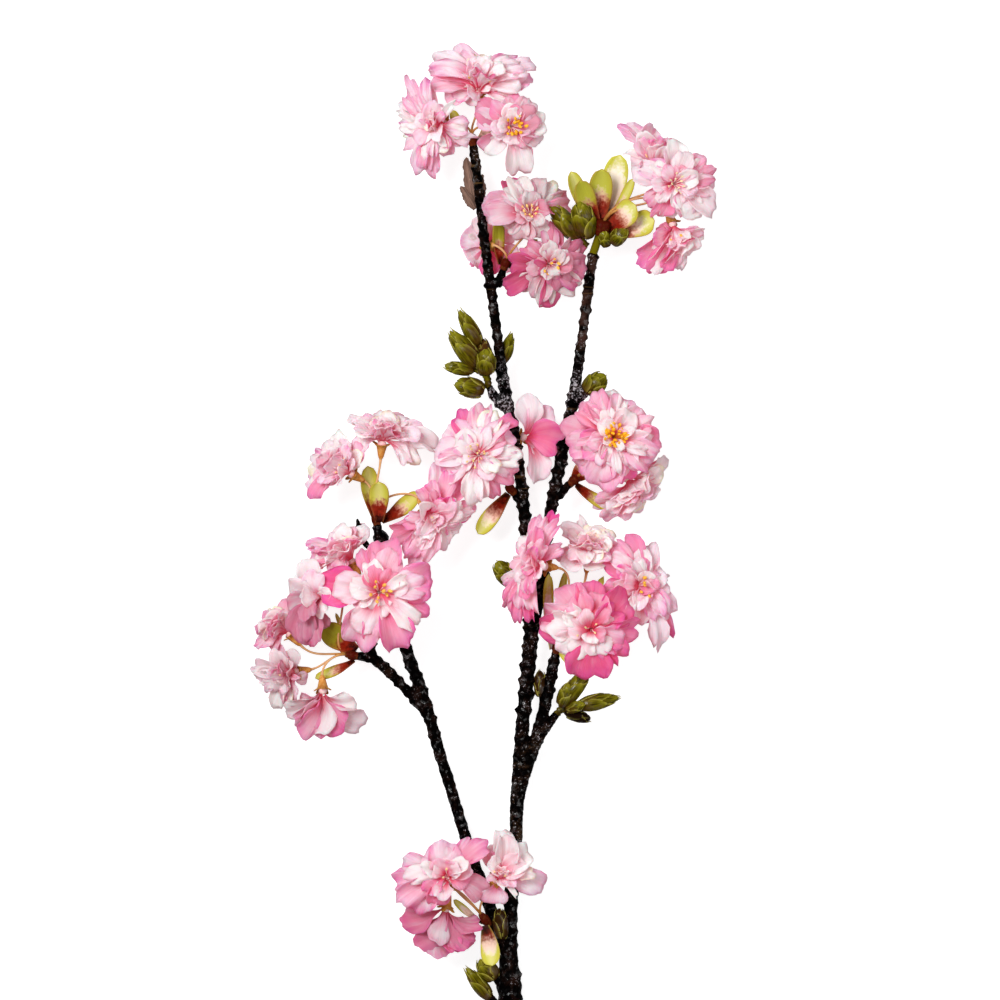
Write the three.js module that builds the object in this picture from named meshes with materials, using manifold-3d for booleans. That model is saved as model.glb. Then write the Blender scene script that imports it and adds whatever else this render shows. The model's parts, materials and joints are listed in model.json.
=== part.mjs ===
// A cut sprig of double pink cherry blossom, lying on a surface with its stem along +Y and +Z off the
// surface. Millimetres. The origin is on the surface, under the middle of the sprig.
import * as THREE from "three";
import { mergeVertices } from "three/addons/utils/BufferGeometryUtils.js";
import Module from "manifold-3d";

const wasm = await Module();
wasm.setup();

// Driving dimensions. Places are read on a picture of the sprig, in its pixels, and one pixel is pxMm of
// the sprig.
const pxMm = 0.5;
const middlePx = { x: 483.9, y: 543.1 };
const clearance = 0.35; // free space between two neighbouring pieces
const pressed = 0.2; // how much of a petal tip the surface flattens
const petalThick = 0.9; // at the rib, thinning to the rim
const bractThick = 1;
const pedicelRadius = 0.7;
const peduncleRadius = 1.9;
const calyx = { top: -1.6, bottom: -7.2, topRadius: 2.9, bottomRadius: 1.1 };
const core = { radius: 3.7, widest: 0.3, bottom: -1.2, top: 4.4 };
const rad = THREE.MathUtils.degToRad;

// The wood, as limbs that share their joints: [x px, y px, height mm, radius mm] from the thick end to
// the thin one.
const limbs = {
  stem: [
    [514, 1032, 6.4, 6.1], [511, 1006, 6.6, 6.0], [509, 984, 7.0, 6.3], [509, 958, 7.4, 4.9],
    [511, 905, 8.4, 4.3], [514, 850, 9.6, 3.9], [517, 800, 10.8, 3.9], [521, 745, 12.4, 3.7],
    [527, 680, 14.4, 3.6], [531, 632, 15.8, 3.3], [530, 580, 17.0, 3.0], [526, 530, 17.8, 2.9],
    [519, 470, 18.8, 2.7], [511, 420, 19.4, 2.9], [504, 385, 19.8, 2.9], [498, 340, 20.0, 2.7],
    [491.5, 292, 20.2, 2.7], [485.5, 248, 20.4, 2.5], [480, 200, 20.6, 2.5], [473, 144, 21.0, 2.1],
  ],
  right: [
    [531, 636, 15.6, 2.8], [541, 588, 17.4, 2.8], [547, 530, 18.8, 2.6], [556, 484, 19.8, 2.8],
    [569, 420, 20.8, 3.0], [574, 396, 21.0, 3.1], [581, 345, 21.2, 2.4], [587, 300, 21.4, 2.5],
    [593, 253, 21.8, 2.6],
  ],
  lower: [
    [515, 812, 10.4, 3.6], [525, 772, 12.6, 3.5], [537, 738, 15.0, 3.5], [546, 700, 17.6, 2.8],
    [552, 672, 19.4, 2.6], [556, 652, 20.8, 2.2],
  ],
  left: [
    [503, 944, 7.6, 3.6], [485, 895, 8.2, 3.2], [469, 850, 9.0, 2.9], [454, 800, 10.6, 2.8],
    [437, 745, 12.6, 2.9], [424, 698, 14.6, 2.9], [408, 655, 16.6, 2.9], [395, 610, 17.6, 2.6],
    [384, 566, 18.6, 2.3], [377, 524, 19.8, 1.9],
  ],
  leftFork: [
    [428, 716, 13.8, 2.5], [408, 692, 15.2, 2.4], [388, 671, 16.8, 2.4], [371, 658, 18.2, 2.6],
    [357, 656, 19.2, 2.3],
  ],
  spurL: [[372, 660, 18.0, 2.2], [371, 648, 19.6, 2.2], [372, 638, 21.4, 1.9]],
  spurB: [[496, 286, 20.4, 2.2], [500, 279, 20.8, 2.1], [504, 268, 21.6, 1.7]],
  spurD: [[509, 408, 19.6, 2.6], [498, 401, 21.4, 2.3], [492, 393, 22.8, 2.1], [489, 386, 23.8, 1.7]],
  spurE: [[523, 504, 18.2, 2.1], [518, 498, 19.6, 2.1], [513, 492, 21.4, 1.6]],
  stalkM: [
    [521, 498, 17.8, 1.6], [528, 486, 18.8, 1.0], [530, 464, 20.6, 0.8], [526.8, 442.5, 21.5, 1.1],
    [531, 442, 19.7, 2.0], [535.2, 441.3, 18.1, 2.8],
  ],
  spurF: [[556, 497, 19.6, 2.2], [563, 491, 20.8, 2.0], [571, 483, 22.4, 1.6]],
  spurFBud: [[574, 400, 21.0, 2.6], [581, 396, 22.4, 2.3], [587, 391, 23.6, 1.9]],
  spurG: [[532, 600, 16.6, 2.2], [523, 592, 18.2, 2.0], [514, 583, 19.8, 1.6]],
  spurH: [[539, 738, 15.6, 2.4], [549, 724, 18.2, 2.2], [558, 712, 20.6, 1.8]],
  spurHBack: [[545, 706, 17.0, 2.0], [541, 696, 16.6, 1.5]],
  spurK: [[504, 944, 8.4, 2.6], [494, 932, 11.4, 2.4], [488, 924, 14.0, 2.0]],
  spurKBud: [[508, 962, 8.0, 2.4], [502, 948, 11.6, 1.9], [501, 938, 13.2, 1.6]],
  spurKMid: [[508, 990, 8.2, 2.4], [499, 984, 10.6, 1.9], [494, 978, 12.0, 1.6]],
  spurKLow: [[510, 1018, 8.2, 2.8], [500, 1010, 10.2, 2.4], [490, 998, 11.8, 1.9]],
  sheathA: [[481, 204, 19.0, 1.2], [473, 194, 17.2, 2.6], [467, 176, 16.6, 2.5], [465, 159, 16.2, 0.5]],
  dryBudI: [[386, 572, 18.8, 1.5], [367, 545, 19.4, 1.1], [362, 538, 19.6, 1.9], [358, 518, 20.0, 0.5]],
  dryBudIBack: [[380, 550, 18.2, 2.2], [383, 539, 16.4, 3.2], [380, 530, 15.6, 1.6]],
};
const ringStep = { wood: 11, spur: 6.5 };
const ringSwell = [0.94, 1.12, 0.98, 1.2, 0.92, 1.06];

// Where the flower clusters spring from: the limb whose thin end carries each one.
const clusters = {
  a: { limb: "stem", length: 5 },
  b: { limb: "spurB", length: 5 },
  c: { limb: "right", length: 9 },
  e: { limb: "spurE", length: 5 },
  f: { limb: "spurF", length: 5 },
  g: { limb: "lower", length: 9 },
  i: { limb: "left", length: 6 },
  j: { limb: "leftFork", length: 6 },
  l: { limb: "spurL", length: 5 },
  k: { limb: "spurK", length: 7 },
};

// Each bloom: where its petals meet in pixels, its height in mm, the way it faces (right, along the
// stem, off the surface), its turn in degrees, its petal length in mm, and how far it has opened, where
// 1 is flat. Some have fewer inner petals, some show stamens, and the sprig rests on some.
const blooms = {
  f1: { stamens: 3, at: [612, 438], z: 30, faces: [0.15, 0.1, 0.98], turn: 54, petal: 26, open: 1 },
  l1: { stamens: 3, at: [379, 592], z: 31, faces: [0.05, 0.05, 1], turn: 12, petal: 27.5, open: 0.97 },
  g4: { at: [590, 625], z: 34, faces: [0, -0.35, 0.93], turn: 50, petal: 25.5, open: 0.95 },
  e1: { at: [480, 456], z: 29, faces: [-0.25, 0.1, 0.95], turn: 30, petal: 25, open: 0.97 },
  k1: { at: [450, 880], z: 28.8, faces: [-0.35, 0.55, 0.75], turn: 0, petal: 25, open: 0.95 },
  b2: { at: [546, 262], z: 27, faces: [0.4, -0.35, 0.85], turn: 24, petal: 22, open: 0.95 },
  b1: { at: [530, 218], z: 24, faces: [0.05, 0.5, 0.86], turn: 36, petal: 22, open: 0.92 },
  c2: { stamens: 3, at: [671, 186], z: 30, faces: [0.35, 0.15, 0.92], turn: 12, petal: 22, open: 0.92 },
  a3: { stamens: 3, at: [508, 126], z: 26, faces: [0.45, -0.1, 0.88], turn: 8, petal: 21, open: 0.9 },
  a2: { inner: 3, at: [444, 124], z: 22, faces: [-0.7, -0.1, 0.7], turn: 24, petal: 24, open: 0.97 },
  a1: {
    rests: true, inner: 3, at: [478, 94], z: 22, faces: [0.05, 0.85, 0.45], turn: 64, petal: 26, open: 0.8,
  },
  g3: { stamens: 3, at: [633, 586], z: 24, faces: [0.75, 0.05, 0.6], turn: 10, petal: 26, open: 0.92 },
  g2: { inner: 3, at: [588, 558], z: 24, faces: [0.1, 0.92, 0.25], turn: 20, petal: 21, open: 0.7 },
  g1: { inner: 3, at: [545, 566], z: 35, faces: [-0.8, 0.1, 0.6], turn: 5, petal: 25, open: 1.02 },
  i3: { inner: 3, at: [426, 508], z: 24, faces: [0.5, -0.62, 0.6], turn: 48, petal: 24, open: 0.95 },
  i1: { inner: 3, at: [352, 474], z: 22, faces: [-0.78, 0.45, 0.42], turn: 28, petal: 22, open: 0.72 },
  i2: { inner: 3, at: [382, 444], z: 23.6, faces: [0.08, 0.95, 0.25], turn: 30, petal: 22, open: 0.62 },
  k3: { at: [496, 880], z: 22, faces: [0.4, 0.6, 0.6], turn: 66, petal: 20, open: 0.75 },
  k2: {
    rests: true, inner: 3, at: [446, 908], z: 18, faces: [-0.2, -0.9, -0.25], turn: 0, petal: 23, open: 0.62,
  },
  j3: { inner: 3, at: [324, 596], z: 25.2, faces: [-0.75, -0.1, 0.55], turn: 24, petal: 22, open: 0.85 },
  l2: { inner: 3, at: [352, 562], z: 20, faces: [-0.45, 0.75, 0.2], turn: 44, petal: 22, open: 0.76 },
  j6: { inner: 3, at: [323, 690], z: 24.6, faces: [0.05, -0.92, 0.3], turn: 60, petal: 22, open: 0.58 },
  j5: { inner: 3, at: [297, 672], z: 20, faces: [-0.85, -0.15, 0.4], turn: 64, petal: 21, open: 0.72 },
  j4: {
    rests: true, inner: 3, at: [290, 634], z: 18, faces: [-0.6, 0.65, 0.1], turn: 28, petal: 20, open: 0.72,
  },
  c3: {
    inner: 3, stamens: 3, at: [672, 224], z: 22, faces: [0.3, -0.85, 0.3], turn: 16, petal: 22, open: 0.68,
  },
  c1: {
    rests: true, inner: 3, at: [657, 171], z: 18, faces: [-0.2, 0.9, 0.1], turn: 20, petal: 23, open: 0.62,
  },
  f2: { inner: 3, at: [626, 478], z: 20, faces: [0.6, -0.7, 0.1], turn: 6, petal: 22, open: 0.72 },
  m1: { inner: 3, at: [538, 441], z: 20.6, faces: [0.75, 0.1, -0.6], turn: 64, petal: 20, open: 0.72 },
  b3: { inner: 3, at: [488, 246], z: 13.6, faces: [-0.35, -0.05, -0.9], turn: 26, petal: 19, open: 0.85 },
};

// The two rings of petals that every bloom has: how many, their share of the bloom's petal length, their
// half width as a share of their own length, the angle from the bloom's axis at their root and at their
// tip, and their twist about their own rib, by which each edge passes over its neighbour's. Angles are
// in degrees.
const petalRings = [
  { count: 5, length: 1, width: 0.4, root: 62, tip: 98, twist: 16 },
  { count: 4, length: 0.76, width: 0.4, root: 30, tip: 64, twist: 20 },
];
const petalCup = 0.24; // how far the edges rise, as a share of the half width
const stamens = { length: 10, lean: 11, rootRadius: 0.45, tipRadius: 0.75 };

// Young leaves, in a ring about the foot of each cluster: tip in pixels and mm, half width in mm, and
// the way the upper face looks.
const bracts = {
  a: [
    { tip: [452, 110, 20], half: 2.6, looks: [0.3, 0.3, 1] },
    { tip: [499, 108, 19], half: 2.8, looks: [-0.2, 0.3, 1] },
  ],
  b: [
    { tip: [499, 218, 19], half: 3.0, looks: [0.3, 0, 1] },
    { tip: [537, 239, 20], half: 2.6, looks: [-0.4, 0.6, 1] },
  ],
  c: [
    { tip: [571, 174, 27], half: 4.3, looks: [0.5, -0.2, 1] },
    { tip: [601, 171, 31], half: 4.8, looks: [0, -0.2, 1] },
    { tip: [624, 157, 24], half: 4.8, looks: [-0.4, 0, 1] },
    { tip: [634, 179, 27], half: 1.9, looks: [-0.6, 0.2, 1] },
    { tip: [627, 202, 33], half: 4.4, looks: [-0.5, 0.3, 1] },
    { tip: [655, 228, 30], half: 4.2, looks: [0, 0.7, 1] },
  ],
  e: [{ tip: [478, 534, 20], half: 3.2, looks: [0.3, 0.3, 1] }],
  f: [
    { tip: [611, 508, 17], half: 3.0, looks: [0, 0.4, 1] },
    { tip: [589, 461, 17], half: 2.6, looks: [-0.5, 0, 1] },
  ],
  g: [
    { tip: [549, 574, 27], half: 2.8, looks: [0.4, 0, 1] },
    { tip: [566, 571, 19], half: 1.9, looks: [0.2, 0, 1] },
    { tip: [603, 576, 19], half: 2.4, looks: [-0.3, 0.3, 1] },
    { tip: [569, 660, 27], half: 2.2, looks: [-0.6, 0.2, 1] },
  ],
  i: [
    { tip: [368, 466, 18], half: 3.8, looks: [0.4, 0, 1] },
    { tip: [379, 482, 28], half: 4.0, looks: [0, -0.4, 1] },
    { tip: [419, 493, 19], half: 3.8, looks: [-0.2, 0.5, 1] },
  ],
  j: [
    { tip: [324, 626, 23], half: 4.4, looks: [0.5, 0.2, 1] },
    { tip: [314, 678, 17], half: 2.6, looks: [0.2, 0.7, 1] },
    { tip: [333, 612, 26], half: 2.4, looks: [0.3, 0.5, 1] },
  ],
  k: [
    { tip: [492, 966, 19], half: 4.6, looks: [-0.3, 0, 1] },
    { tip: [454, 900, 19], half: 2.6, looks: [0.4, 0.6, 1] },
  ],
};

// Green buds: root and tip in pixels and mm, radius in mm. Buds of one name share a green stalk.
const buds = {
  bud_d: {
    stalk: [[489, 388, 23.4, 1.6], [487, 378, 25.2, 1.9], [483, 370, 26.2, 1.6]],
    twig: [[486, 376, 25.2, 1.3], [474, 370, 24.6, 1.1], [462, 368, 24.2, 1.0]],
    buds: [
      { root: [482, 372, 24.6], tip: [449, 330, 25], radius: 4.4 },
      { root: [483, 350, 22.4], tip: [459, 309, 21.4], radius: 3.7 },
      { root: [485, 374, 23.8], tip: [486, 337, 20.2], radius: 2.9 },
      { root: [486, 375, 26.6], tip: [486, 349, 31], radius: 4.9 },
      { root: [474, 371, 24.6], tip: [444, 366, 24.2], radius: 3.2 },
      { root: [485, 382, 25.2], tip: [455, 390, 27.6], radius: 4.5 },
    ],
  },
  bud_d_back: { buds: [{ root: [503, 362, 17.2], tip: [512, 332, 14.6], radius: 3.1 }] },
  bud_f: { buds: [{ root: [586, 393, 23.4], tip: [605, 374, 26], radius: 5.3 }] },
  bud_g: { buds: [{ root: [515, 584, 19.6], tip: [495, 562, 21.6], radius: 5 }] },
  bud_h: {
    stalk: [[557, 714, 20.2, 1.7], [563, 706, 22.0, 2.0], [566, 700, 23.2, 1.7]],
    twig: [[562, 710, 21.2, 1.6], [574, 706, 21.8, 1.4], [582, 704, 22.0, 1.3]],
    buds: [
      { root: [563, 704, 22.8], tip: [588, 670, 24.6], radius: 4.2 },
      { root: [561, 706, 23.2], tip: [569, 683, 27.4], radius: 3.5 },
      { root: [578, 706, 22.0], tip: [620, 697, 22.6], radius: 4 },
      { root: [566, 710, 23.2], tip: [585, 703, 26.4], radius: 2.6 },
      { root: [565, 712, 21.0], tip: [591, 720, 18.8], radius: 3.0 },
    ],
  },
  bud_h_back: { buds: [{ root: [542, 698, 16.6], tip: [540, 670, 15.4], radius: 3.4 }] },
  bud_c: {
    stalk: [[603, 246, 23.4, 1.3], [608, 243, 25.2, 1.3], [615, 240, 26.8, 1.1]],
    buds: [
      { root: [607, 246, 24.4], tip: [602, 231, 29.6], radius: 3.1 },
      { root: [612, 244, 25.6], tip: [626, 229, 29.6], radius: 3.9 },
    ],
  },
  bud_c_left: {
    stalk: [[588, 246, 22.4, 1.3], [582, 240, 22.6, 1.4], [580, 237, 22.8, 1.4]],
    buds: [
      { root: [587, 238, 25], tip: [579, 202, 31], radius: 5.6 },
      { root: [580, 240, 22.4], tip: [548, 204, 20], radius: 4.8 },
    ],
  },
  bud_k: { buds: [{ root: [502, 940, 13.0], tip: [499, 908, 16], radius: 3.9 }] },
  bud_k_mid: { buds: [{ root: [495, 980, 11.8], tip: [479, 960, 14.4], radius: 4.8 }] },
  bud_k_low: { buds: [{ root: [491, 1000, 11.6], tip: [465, 968, 13.4], radius: 4.4 }] },
};

const colours = {
  wood: { color: 0x1d1512, roughness: 0.7 },
  petal: { color: 0xf3bfd3, roughness: 0.6 },
  stalk: { color: 0xb98a52, roughness: 0.6 },
  bract: { color: 0xb4a23c, roughness: 0.55 },
  bud: { color: 0x6d7a26, roughness: 0.4 },
};
const materials = {};
for (const [name, look] of Object.entries(colours)) {
  materials[name] = new THREE.MeshStandardMaterial({ ...look, metalness: 0, name });
}

// A number from 0 to 1 that is always the same for the same three numbers.
function chance(a, b, c) {
  const s = Math.sin(a * 12.9898 + b * 78.233 + c * 37.719) * 43758.5453;
  return s - Math.floor(s);
}

function place([x, y, z]) {
  return new THREE.Vector3((x - middlePx.x) * pxMm, (middlePx.y - y) * pxMm, z);
}

function solidFrom(geometry) {
  const bare = geometry.index ? geometry.toNonIndexed() : geometry.clone();
  bare.deleteAttribute("normal");
  bare.deleteAttribute("uv");
  const merged = mergeVertices(bare, 1e-4);
  const vertProperties = new Float32Array(merged.attributes.position.array);
  const triVerts = new Uint32Array(merged.index.array);
  return new wasm.Manifold(new wasm.Mesh({ numProp: 3, vertProperties, triVerts }));
}

function geometryFrom(solid) {
  const mesh = solid.getMesh();
  const geometry = new THREE.BufferGeometry();
  geometry.setAttribute("position", new THREE.BufferAttribute(new Float32Array(mesh.vertProperties), 3));
  geometry.setIndex(new THREE.BufferAttribute(new Uint32Array(mesh.triVerts), 1));
  geometry.computeVertexNormals();
  return geometry;
}

function geometryOf(points, faces) {
  const geometry = new THREE.BufferGeometry().setFromPoints(points);
  geometry.setIndex(faces.flat());
  return geometry;
}

const joined = (solids) => wasm.Manifold.union(solids);

// A tapering limb through a list of [x px, y px, z mm, radius mm], with rings that swell like bark
// knuckles.
function limb(stops, { sides = 6, step = 6, swell = [1], grow = 0 }) {
  const curve = new THREE.CatmullRomCurve3(stops.map(place), false, "centripetal");
  const count = Math.max(stops.length - 1, Math.round(curve.getLength() / step));
  const points = [];
  const faces = [];
  for (let k = 0; k <= count; k++) {
    const t = k / count;
    const centre = curve.getPoint(t);
    const along = curve.getTangent(t);
    const side = new THREE.Vector3(0, 0, 1).cross(along).normalize();
    const up = along.clone().cross(side).normalize();
    const position = t * (stops.length - 1);
    const low = Math.min(stops.length - 2, Math.floor(position));
    const radius = THREE.MathUtils.lerp(stops[low][3], stops[low + 1][3], position - low);
    const swelling = k === 0 || k === count ? 1 : swell[k % swell.length];
    if (grow && (k === 0 || k === count)) centre.addScaledVector(along, k === 0 ? -grow : grow);
    for (let s = 0; s < sides; s++) {
      const angle = ((s + (k % 2) * 0.5) / sides) * 2 * Math.PI;
      const reach = radius * swelling + grow;
      points.push(centre.clone().addScaledVector(side, Math.cos(angle) * reach)
        .addScaledVector(up, Math.sin(angle) * reach));
    }
  }
  for (let k = 0; k < count; k++) {
    for (let s = 0; s < sides; s++) {
      const a = k * sides + s;
      const b = k * sides + ((s + 1) % sides);
      const c = a + sides;
      const d = b + sides;
      if (k % 2) faces.push([a, b, d], [a, d, c]);
      else faces.push([a, b, c], [b, d, c]);
    }
  }
  const last = count * sides;
  for (let s = 1; s < sides - 1; s++) {
    faces.push([0, s + 1, s], [last, last + s, last + s + 1]);
  }
  return solidFrom(geometryOf(points, faces));
}

// A thin leaf or petal: point(t, u) gives its middle surface, with t from root to tip and u from edge to
// edge, and face(t) the way its upper side looks. Both sides have the same triangles and meet at the
// rim.
function blade({ outline, notch, tipShare, point, face, thick, length, grow }) {
  const left = outline.map(([t]) => point(t, -1));
  const right = outline.map(([t]) => point(t, 1));
  const beyond = grow / length;
  const tips = [point(1 + beyond, -tipShare), point(notch + beyond, 0), point(1 + beyond, tipShare)];
  const points = [point(0, 0), ...left, ...tips, ...right];
  const stops = outline.length;
  const tip = { left: stops + 1, middle: stops + 2, right: stops + 3 };
  const rightFrom = stops + 4;
  const above = points.length;
  const half = thick / 2 + grow;
  for (const [t] of outline) points.push(point(t, 0).addScaledVector(face(t), half));
  const below = points.length;
  for (const [t] of outline) points.push(point(t, 0).addScaledVector(face(t), -half));
  const faces = [];
  const both = (a, b, c) => {
    const under = (n) => (n >= above ? n - above + below : n);
    faces.push([a, b, c], [under(c), under(b), under(a)]);
  };
  both(0, above, 1);
  both(0, rightFrom, above);
  for (let k = 0; k < stops - 1; k++) {
    both(1 + k, above + k + 1, 2 + k);
    both(1 + k, above + k, above + k + 1);
    both(rightFrom + k, rightFrom + k + 1, above + k + 1);
    both(rightFrom + k, above + k + 1, above + k);
  }
  const end = above + stops - 1;
  both(stops, end, tip.left);
  both(tip.left, end, tip.middle);
  both(tip.middle, end, tip.right);
  both(tip.right, end, rightFrom + stops - 1);
  return solidFrom(geometryOf(points, faces));
}

const petalOutlines = {
  fine: [[0.3, 0.42], [0.62, 1], [0.88, 0.8]],
  plain: [[0.4, 0.6], [0.8, 1]],
};

// The share of the half width at t, between the stops of an outline.
function widthAt(stops, t) {
  const within = Math.min(t, 1);
  const k = Math.max(1, stops.findIndex(([at]) => at >= within));
  const mix = (within - stops[k - 1][0]) / (stops[k][0] - stops[k - 1][0]);
  return THREE.MathUtils.lerp(stops[k - 1][1], stops[k][1], mix);
}

// One petal about a bloom's axis, which is +Z here. Its rib is an arc from the root angle to the tip angle.
function petal({ azimuth, length, halfWidth, root, tip, twist, outline, grow }) {
  const bend = tip - root;
  const out = new THREE.Vector3(Math.cos(azimuth), Math.sin(azimuth), 0);
  const across = new THREE.Vector3(Math.sin(azimuth), -Math.cos(azimuth), 0);
  const axis = new THREE.Vector3(0, 0, 1);
  const normalAt = (t) => {
    const angle = root + bend * t;
    return out.clone().multiplyScalar(-Math.cos(angle)).addScaledVector(axis, Math.sin(angle));
  };
  const face = (t) => normalAt(t).multiplyScalar(Math.cos(twist)).addScaledVector(across, -Math.sin(twist));
  const point = (t, u) => {
    const angle = root + bend * t;
    const rib = out.clone().multiplyScalar((length * (Math.cos(root) - Math.cos(angle))) / bend)
      .addScaledVector(axis, (length * (Math.sin(angle) - Math.sin(root))) / bend);
    const half = halfWidth * widthAt([[0, 0.16], ...outline, [1, 0.62]], t) + grow;
    const sideways = across.clone().multiplyScalar(Math.cos(twist))
      .addScaledVector(normalAt(t), Math.sin(twist));
    return rib.addScaledVector(sideways, u * half).addScaledVector(face(t), petalCup * half * u * u);
  };
  return blade({ outline, notch: 0.95, tipShare: 0.5, point, face, thick: petalThick, length, grow });
}

// A frame for a bloom: +Z the way it faces, +X to the right of the picture and +Y away from the stem's
// cut end.
function bloomFrame({ at, z, faces }) {
  const axis = new THREE.Vector3(...faces).normalize();
  const side = new THREE.Vector3(0, 1, 0).cross(axis).normalize();
  const up = axis.clone().cross(side);
  return new THREE.Matrix4().makeBasis(side, up, axis).setPosition(place([...at, z]));
}

// The small core that a bloom's petals stand out of: two five-sided pyramids base to base, a face for
// each petal.
function coreSolid(turn, grow) {
  const points = [new THREE.Vector3(0, 0, core.bottom - grow), new THREE.Vector3(0, 0, core.top + grow)];
  const faces = [];
  for (let k = 0; k < 5; k++) {
    const azimuth = rad(turn + 36 + k * 72);
    const reach = core.radius + grow;
    points.push(new THREE.Vector3(Math.cos(azimuth) * reach, Math.sin(azimuth) * reach, core.widest));
    faces.push([0, 2 + ((k + 1) % 5), 2 + k], [1, 2 + k, 2 + ((k + 1) % 5)]);
  }
  return solidFrom(geometryOf(points, faces));
}

const bloomNames = Object.keys(blooms);

function bloomSolid(name, grow) {
  const { turn, petal: size, open, inner, stamens: showing } = blooms[name];
  const seed = bloomNames.indexOf(name) + 1;
  const parts = [];
  petalRings.forEach((ring, layer) => {
    const count = layer && inner ? inner : ring.count;
    for (let k = 0; k < count; k++) {
      const draw = (salt) => chance(seed, layer * 10 + k, salt) - 0.5;
      const length = size * ring.length * (1 + 0.16 * draw(1));
      parts.push(petal({
        azimuth: rad(turn + ((k + layer * 0.5) * 360) / count + 12 * draw(2)),
        length,
        halfWidth: length * ring.width * (1 + 0.14 * draw(3)),
        root: rad(ring.root),
        tip: rad(ring.tip * open + 16 * draw(4)),
        twist: rad(ring.twist + 6 * draw(5)),
        outline: layer || inner ? petalOutlines.plain : petalOutlines.fine,
        grow,
      }));
    }
  });
  parts.push(coreSolid(turn, grow));
  for (let k = 0; k < (showing ?? 0); k++) {
    const filament = new THREE.CylinderGeometry(stamens.tipRadius + grow, stamens.rootRadius + grow,
      stamens.length, 3);
    filament.translate(0, stamens.length / 2 + 0.6, 0).rotateX(Math.PI / 2);
    filament.rotateY(rad(stamens.lean * (0.55 + 0.6 * chance(seed, k, 7))));
    filament.rotateZ(rad(turn + (k * 360) / showing + 40));
    parts.push(solidFrom(filament));
  }
  const frame = bloomFrame(blooms[name]);
  return joined(parts).transform(frame.elements);
}

// The pointed ovoid of a bud, six-sided, with its scales as ridges that turn about it.
function budSolid({ root, tip, radius }, grow) {
  const from = place(root);
  const to = place(tip);
  const length = from.distanceTo(to) + grow;
  const profile = [[0, 0.5], [0.32, 1], [0.76, 0.76]];
  const sides = 6;
  const points = [];
  profile.forEach(([t, share], k) => {
    for (let s = 0; s < sides; s++) {
      const angle = ((s + k * 0.5) / sides) * 2 * Math.PI;
      const reach = radius * share * (1 + 0.07 * ((s + k) % 2 ? 1 : -1)) + grow;
      points.push(new THREE.Vector3(Math.cos(angle) * reach, Math.sin(angle) * reach, t * length));
    }
  });
  const top = points.push(new THREE.Vector3(0, 0, length)) - 1;
  const faces = [];
  for (let k = 0; k < profile.length - 1; k++) {
    for (let s = 0; s < sides; s++) {
      const a = k * sides + s;
      const b = k * sides + ((s + 1) % sides);
      faces.push([a, b, a + sides], [b, b + sides, a + sides]);
    }
  }
  const last = (profile.length - 1) * sides;
  for (let s = 0; s < sides; s++) faces.push([last + s, last + ((s + 1) % sides), top]);
  for (let s = 1; s < sides - 1; s++) faces.push([0, s + 1, s]);
  const turn = new THREE.Quaternion().setFromUnitVectors(
    new THREE.Vector3(0, 0, 1), to.clone().sub(from).normalize());
  const frame = new THREE.Matrix4().compose(from, turn, new THREE.Vector3(1, 1, 1));
  return solidFrom(geometryOf(points, faces)).transform(frame.elements);
}

function budGroup(name, grow) {
  const { stalk, twig, buds: members } = buds[name];
  const parts = members.map((bud) => budSolid(bud, grow));
  for (const stops of [stalk, twig]) {
    if (stops) parts.push(limb(stops, { sides: 4, step: 8, grow }));
  }
  return joined(parts);
}

const bractOutline = [[0.34, 0.72], [0.7, 1]];

function bractSolid(foot, upward, { tip, half, looks }, grow) {
  const to = place(tip);
  const outward = to.clone().sub(foot).projectOnPlane(upward).normalize();
  const from = foot.clone().addScaledVector(outward, peduncleRadius + 0.8);
  const along = to.clone().sub(from);
  const length = along.length();
  along.normalize();
  const toward = new THREE.Vector3(...looks);
  const across = along.clone().cross(toward).normalize();
  const face = across.clone().cross(along).normalize();
  const bow = 0.12 * length;
  const point = (t, u) => {
    const wide = half * widthAt([[0, 0.35], ...bractOutline, [1, 0.3]], t) + grow;
    return from.clone().addScaledVector(along, t * length).addScaledVector(across, u * wide)
      .addScaledVector(face, 0.3 * wide * u * u - bow * 4 * t * (1 - t));
  };
  return blade({
    outline: bractOutline, notch: 1.04, tipShare: 1, point, face: () => face,
    thick: bractThick, length, grow,
  });
}

function clusterAxis(name) {
  const stops = limbs[clusters[name].limb].slice(-2).map(place);
  return { base: stops[1], along: stops[1].clone().sub(stops[0]).normalize() };
}

function bractGroup(name, grow) {
  const { base, along } = clusterAxis(name);
  const collar = new THREE.CylinderGeometry(peduncleRadius + 1.8 + grow, peduncleRadius + 1.3 + grow, 4, 6);
  const turn = new THREE.Quaternion().setFromUnitVectors(new THREE.Vector3(0, 1, 0), along);
  collar.applyQuaternion(turn).translate(...base.clone().addScaledVector(along, 2.5).toArray());
  const foot = base.clone().addScaledVector(along, 0.9);
  return joined([solidFrom(collar), ...bracts[name].map((leaf) => bractSolid(foot, along, leaf, grow))]);
}

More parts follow.
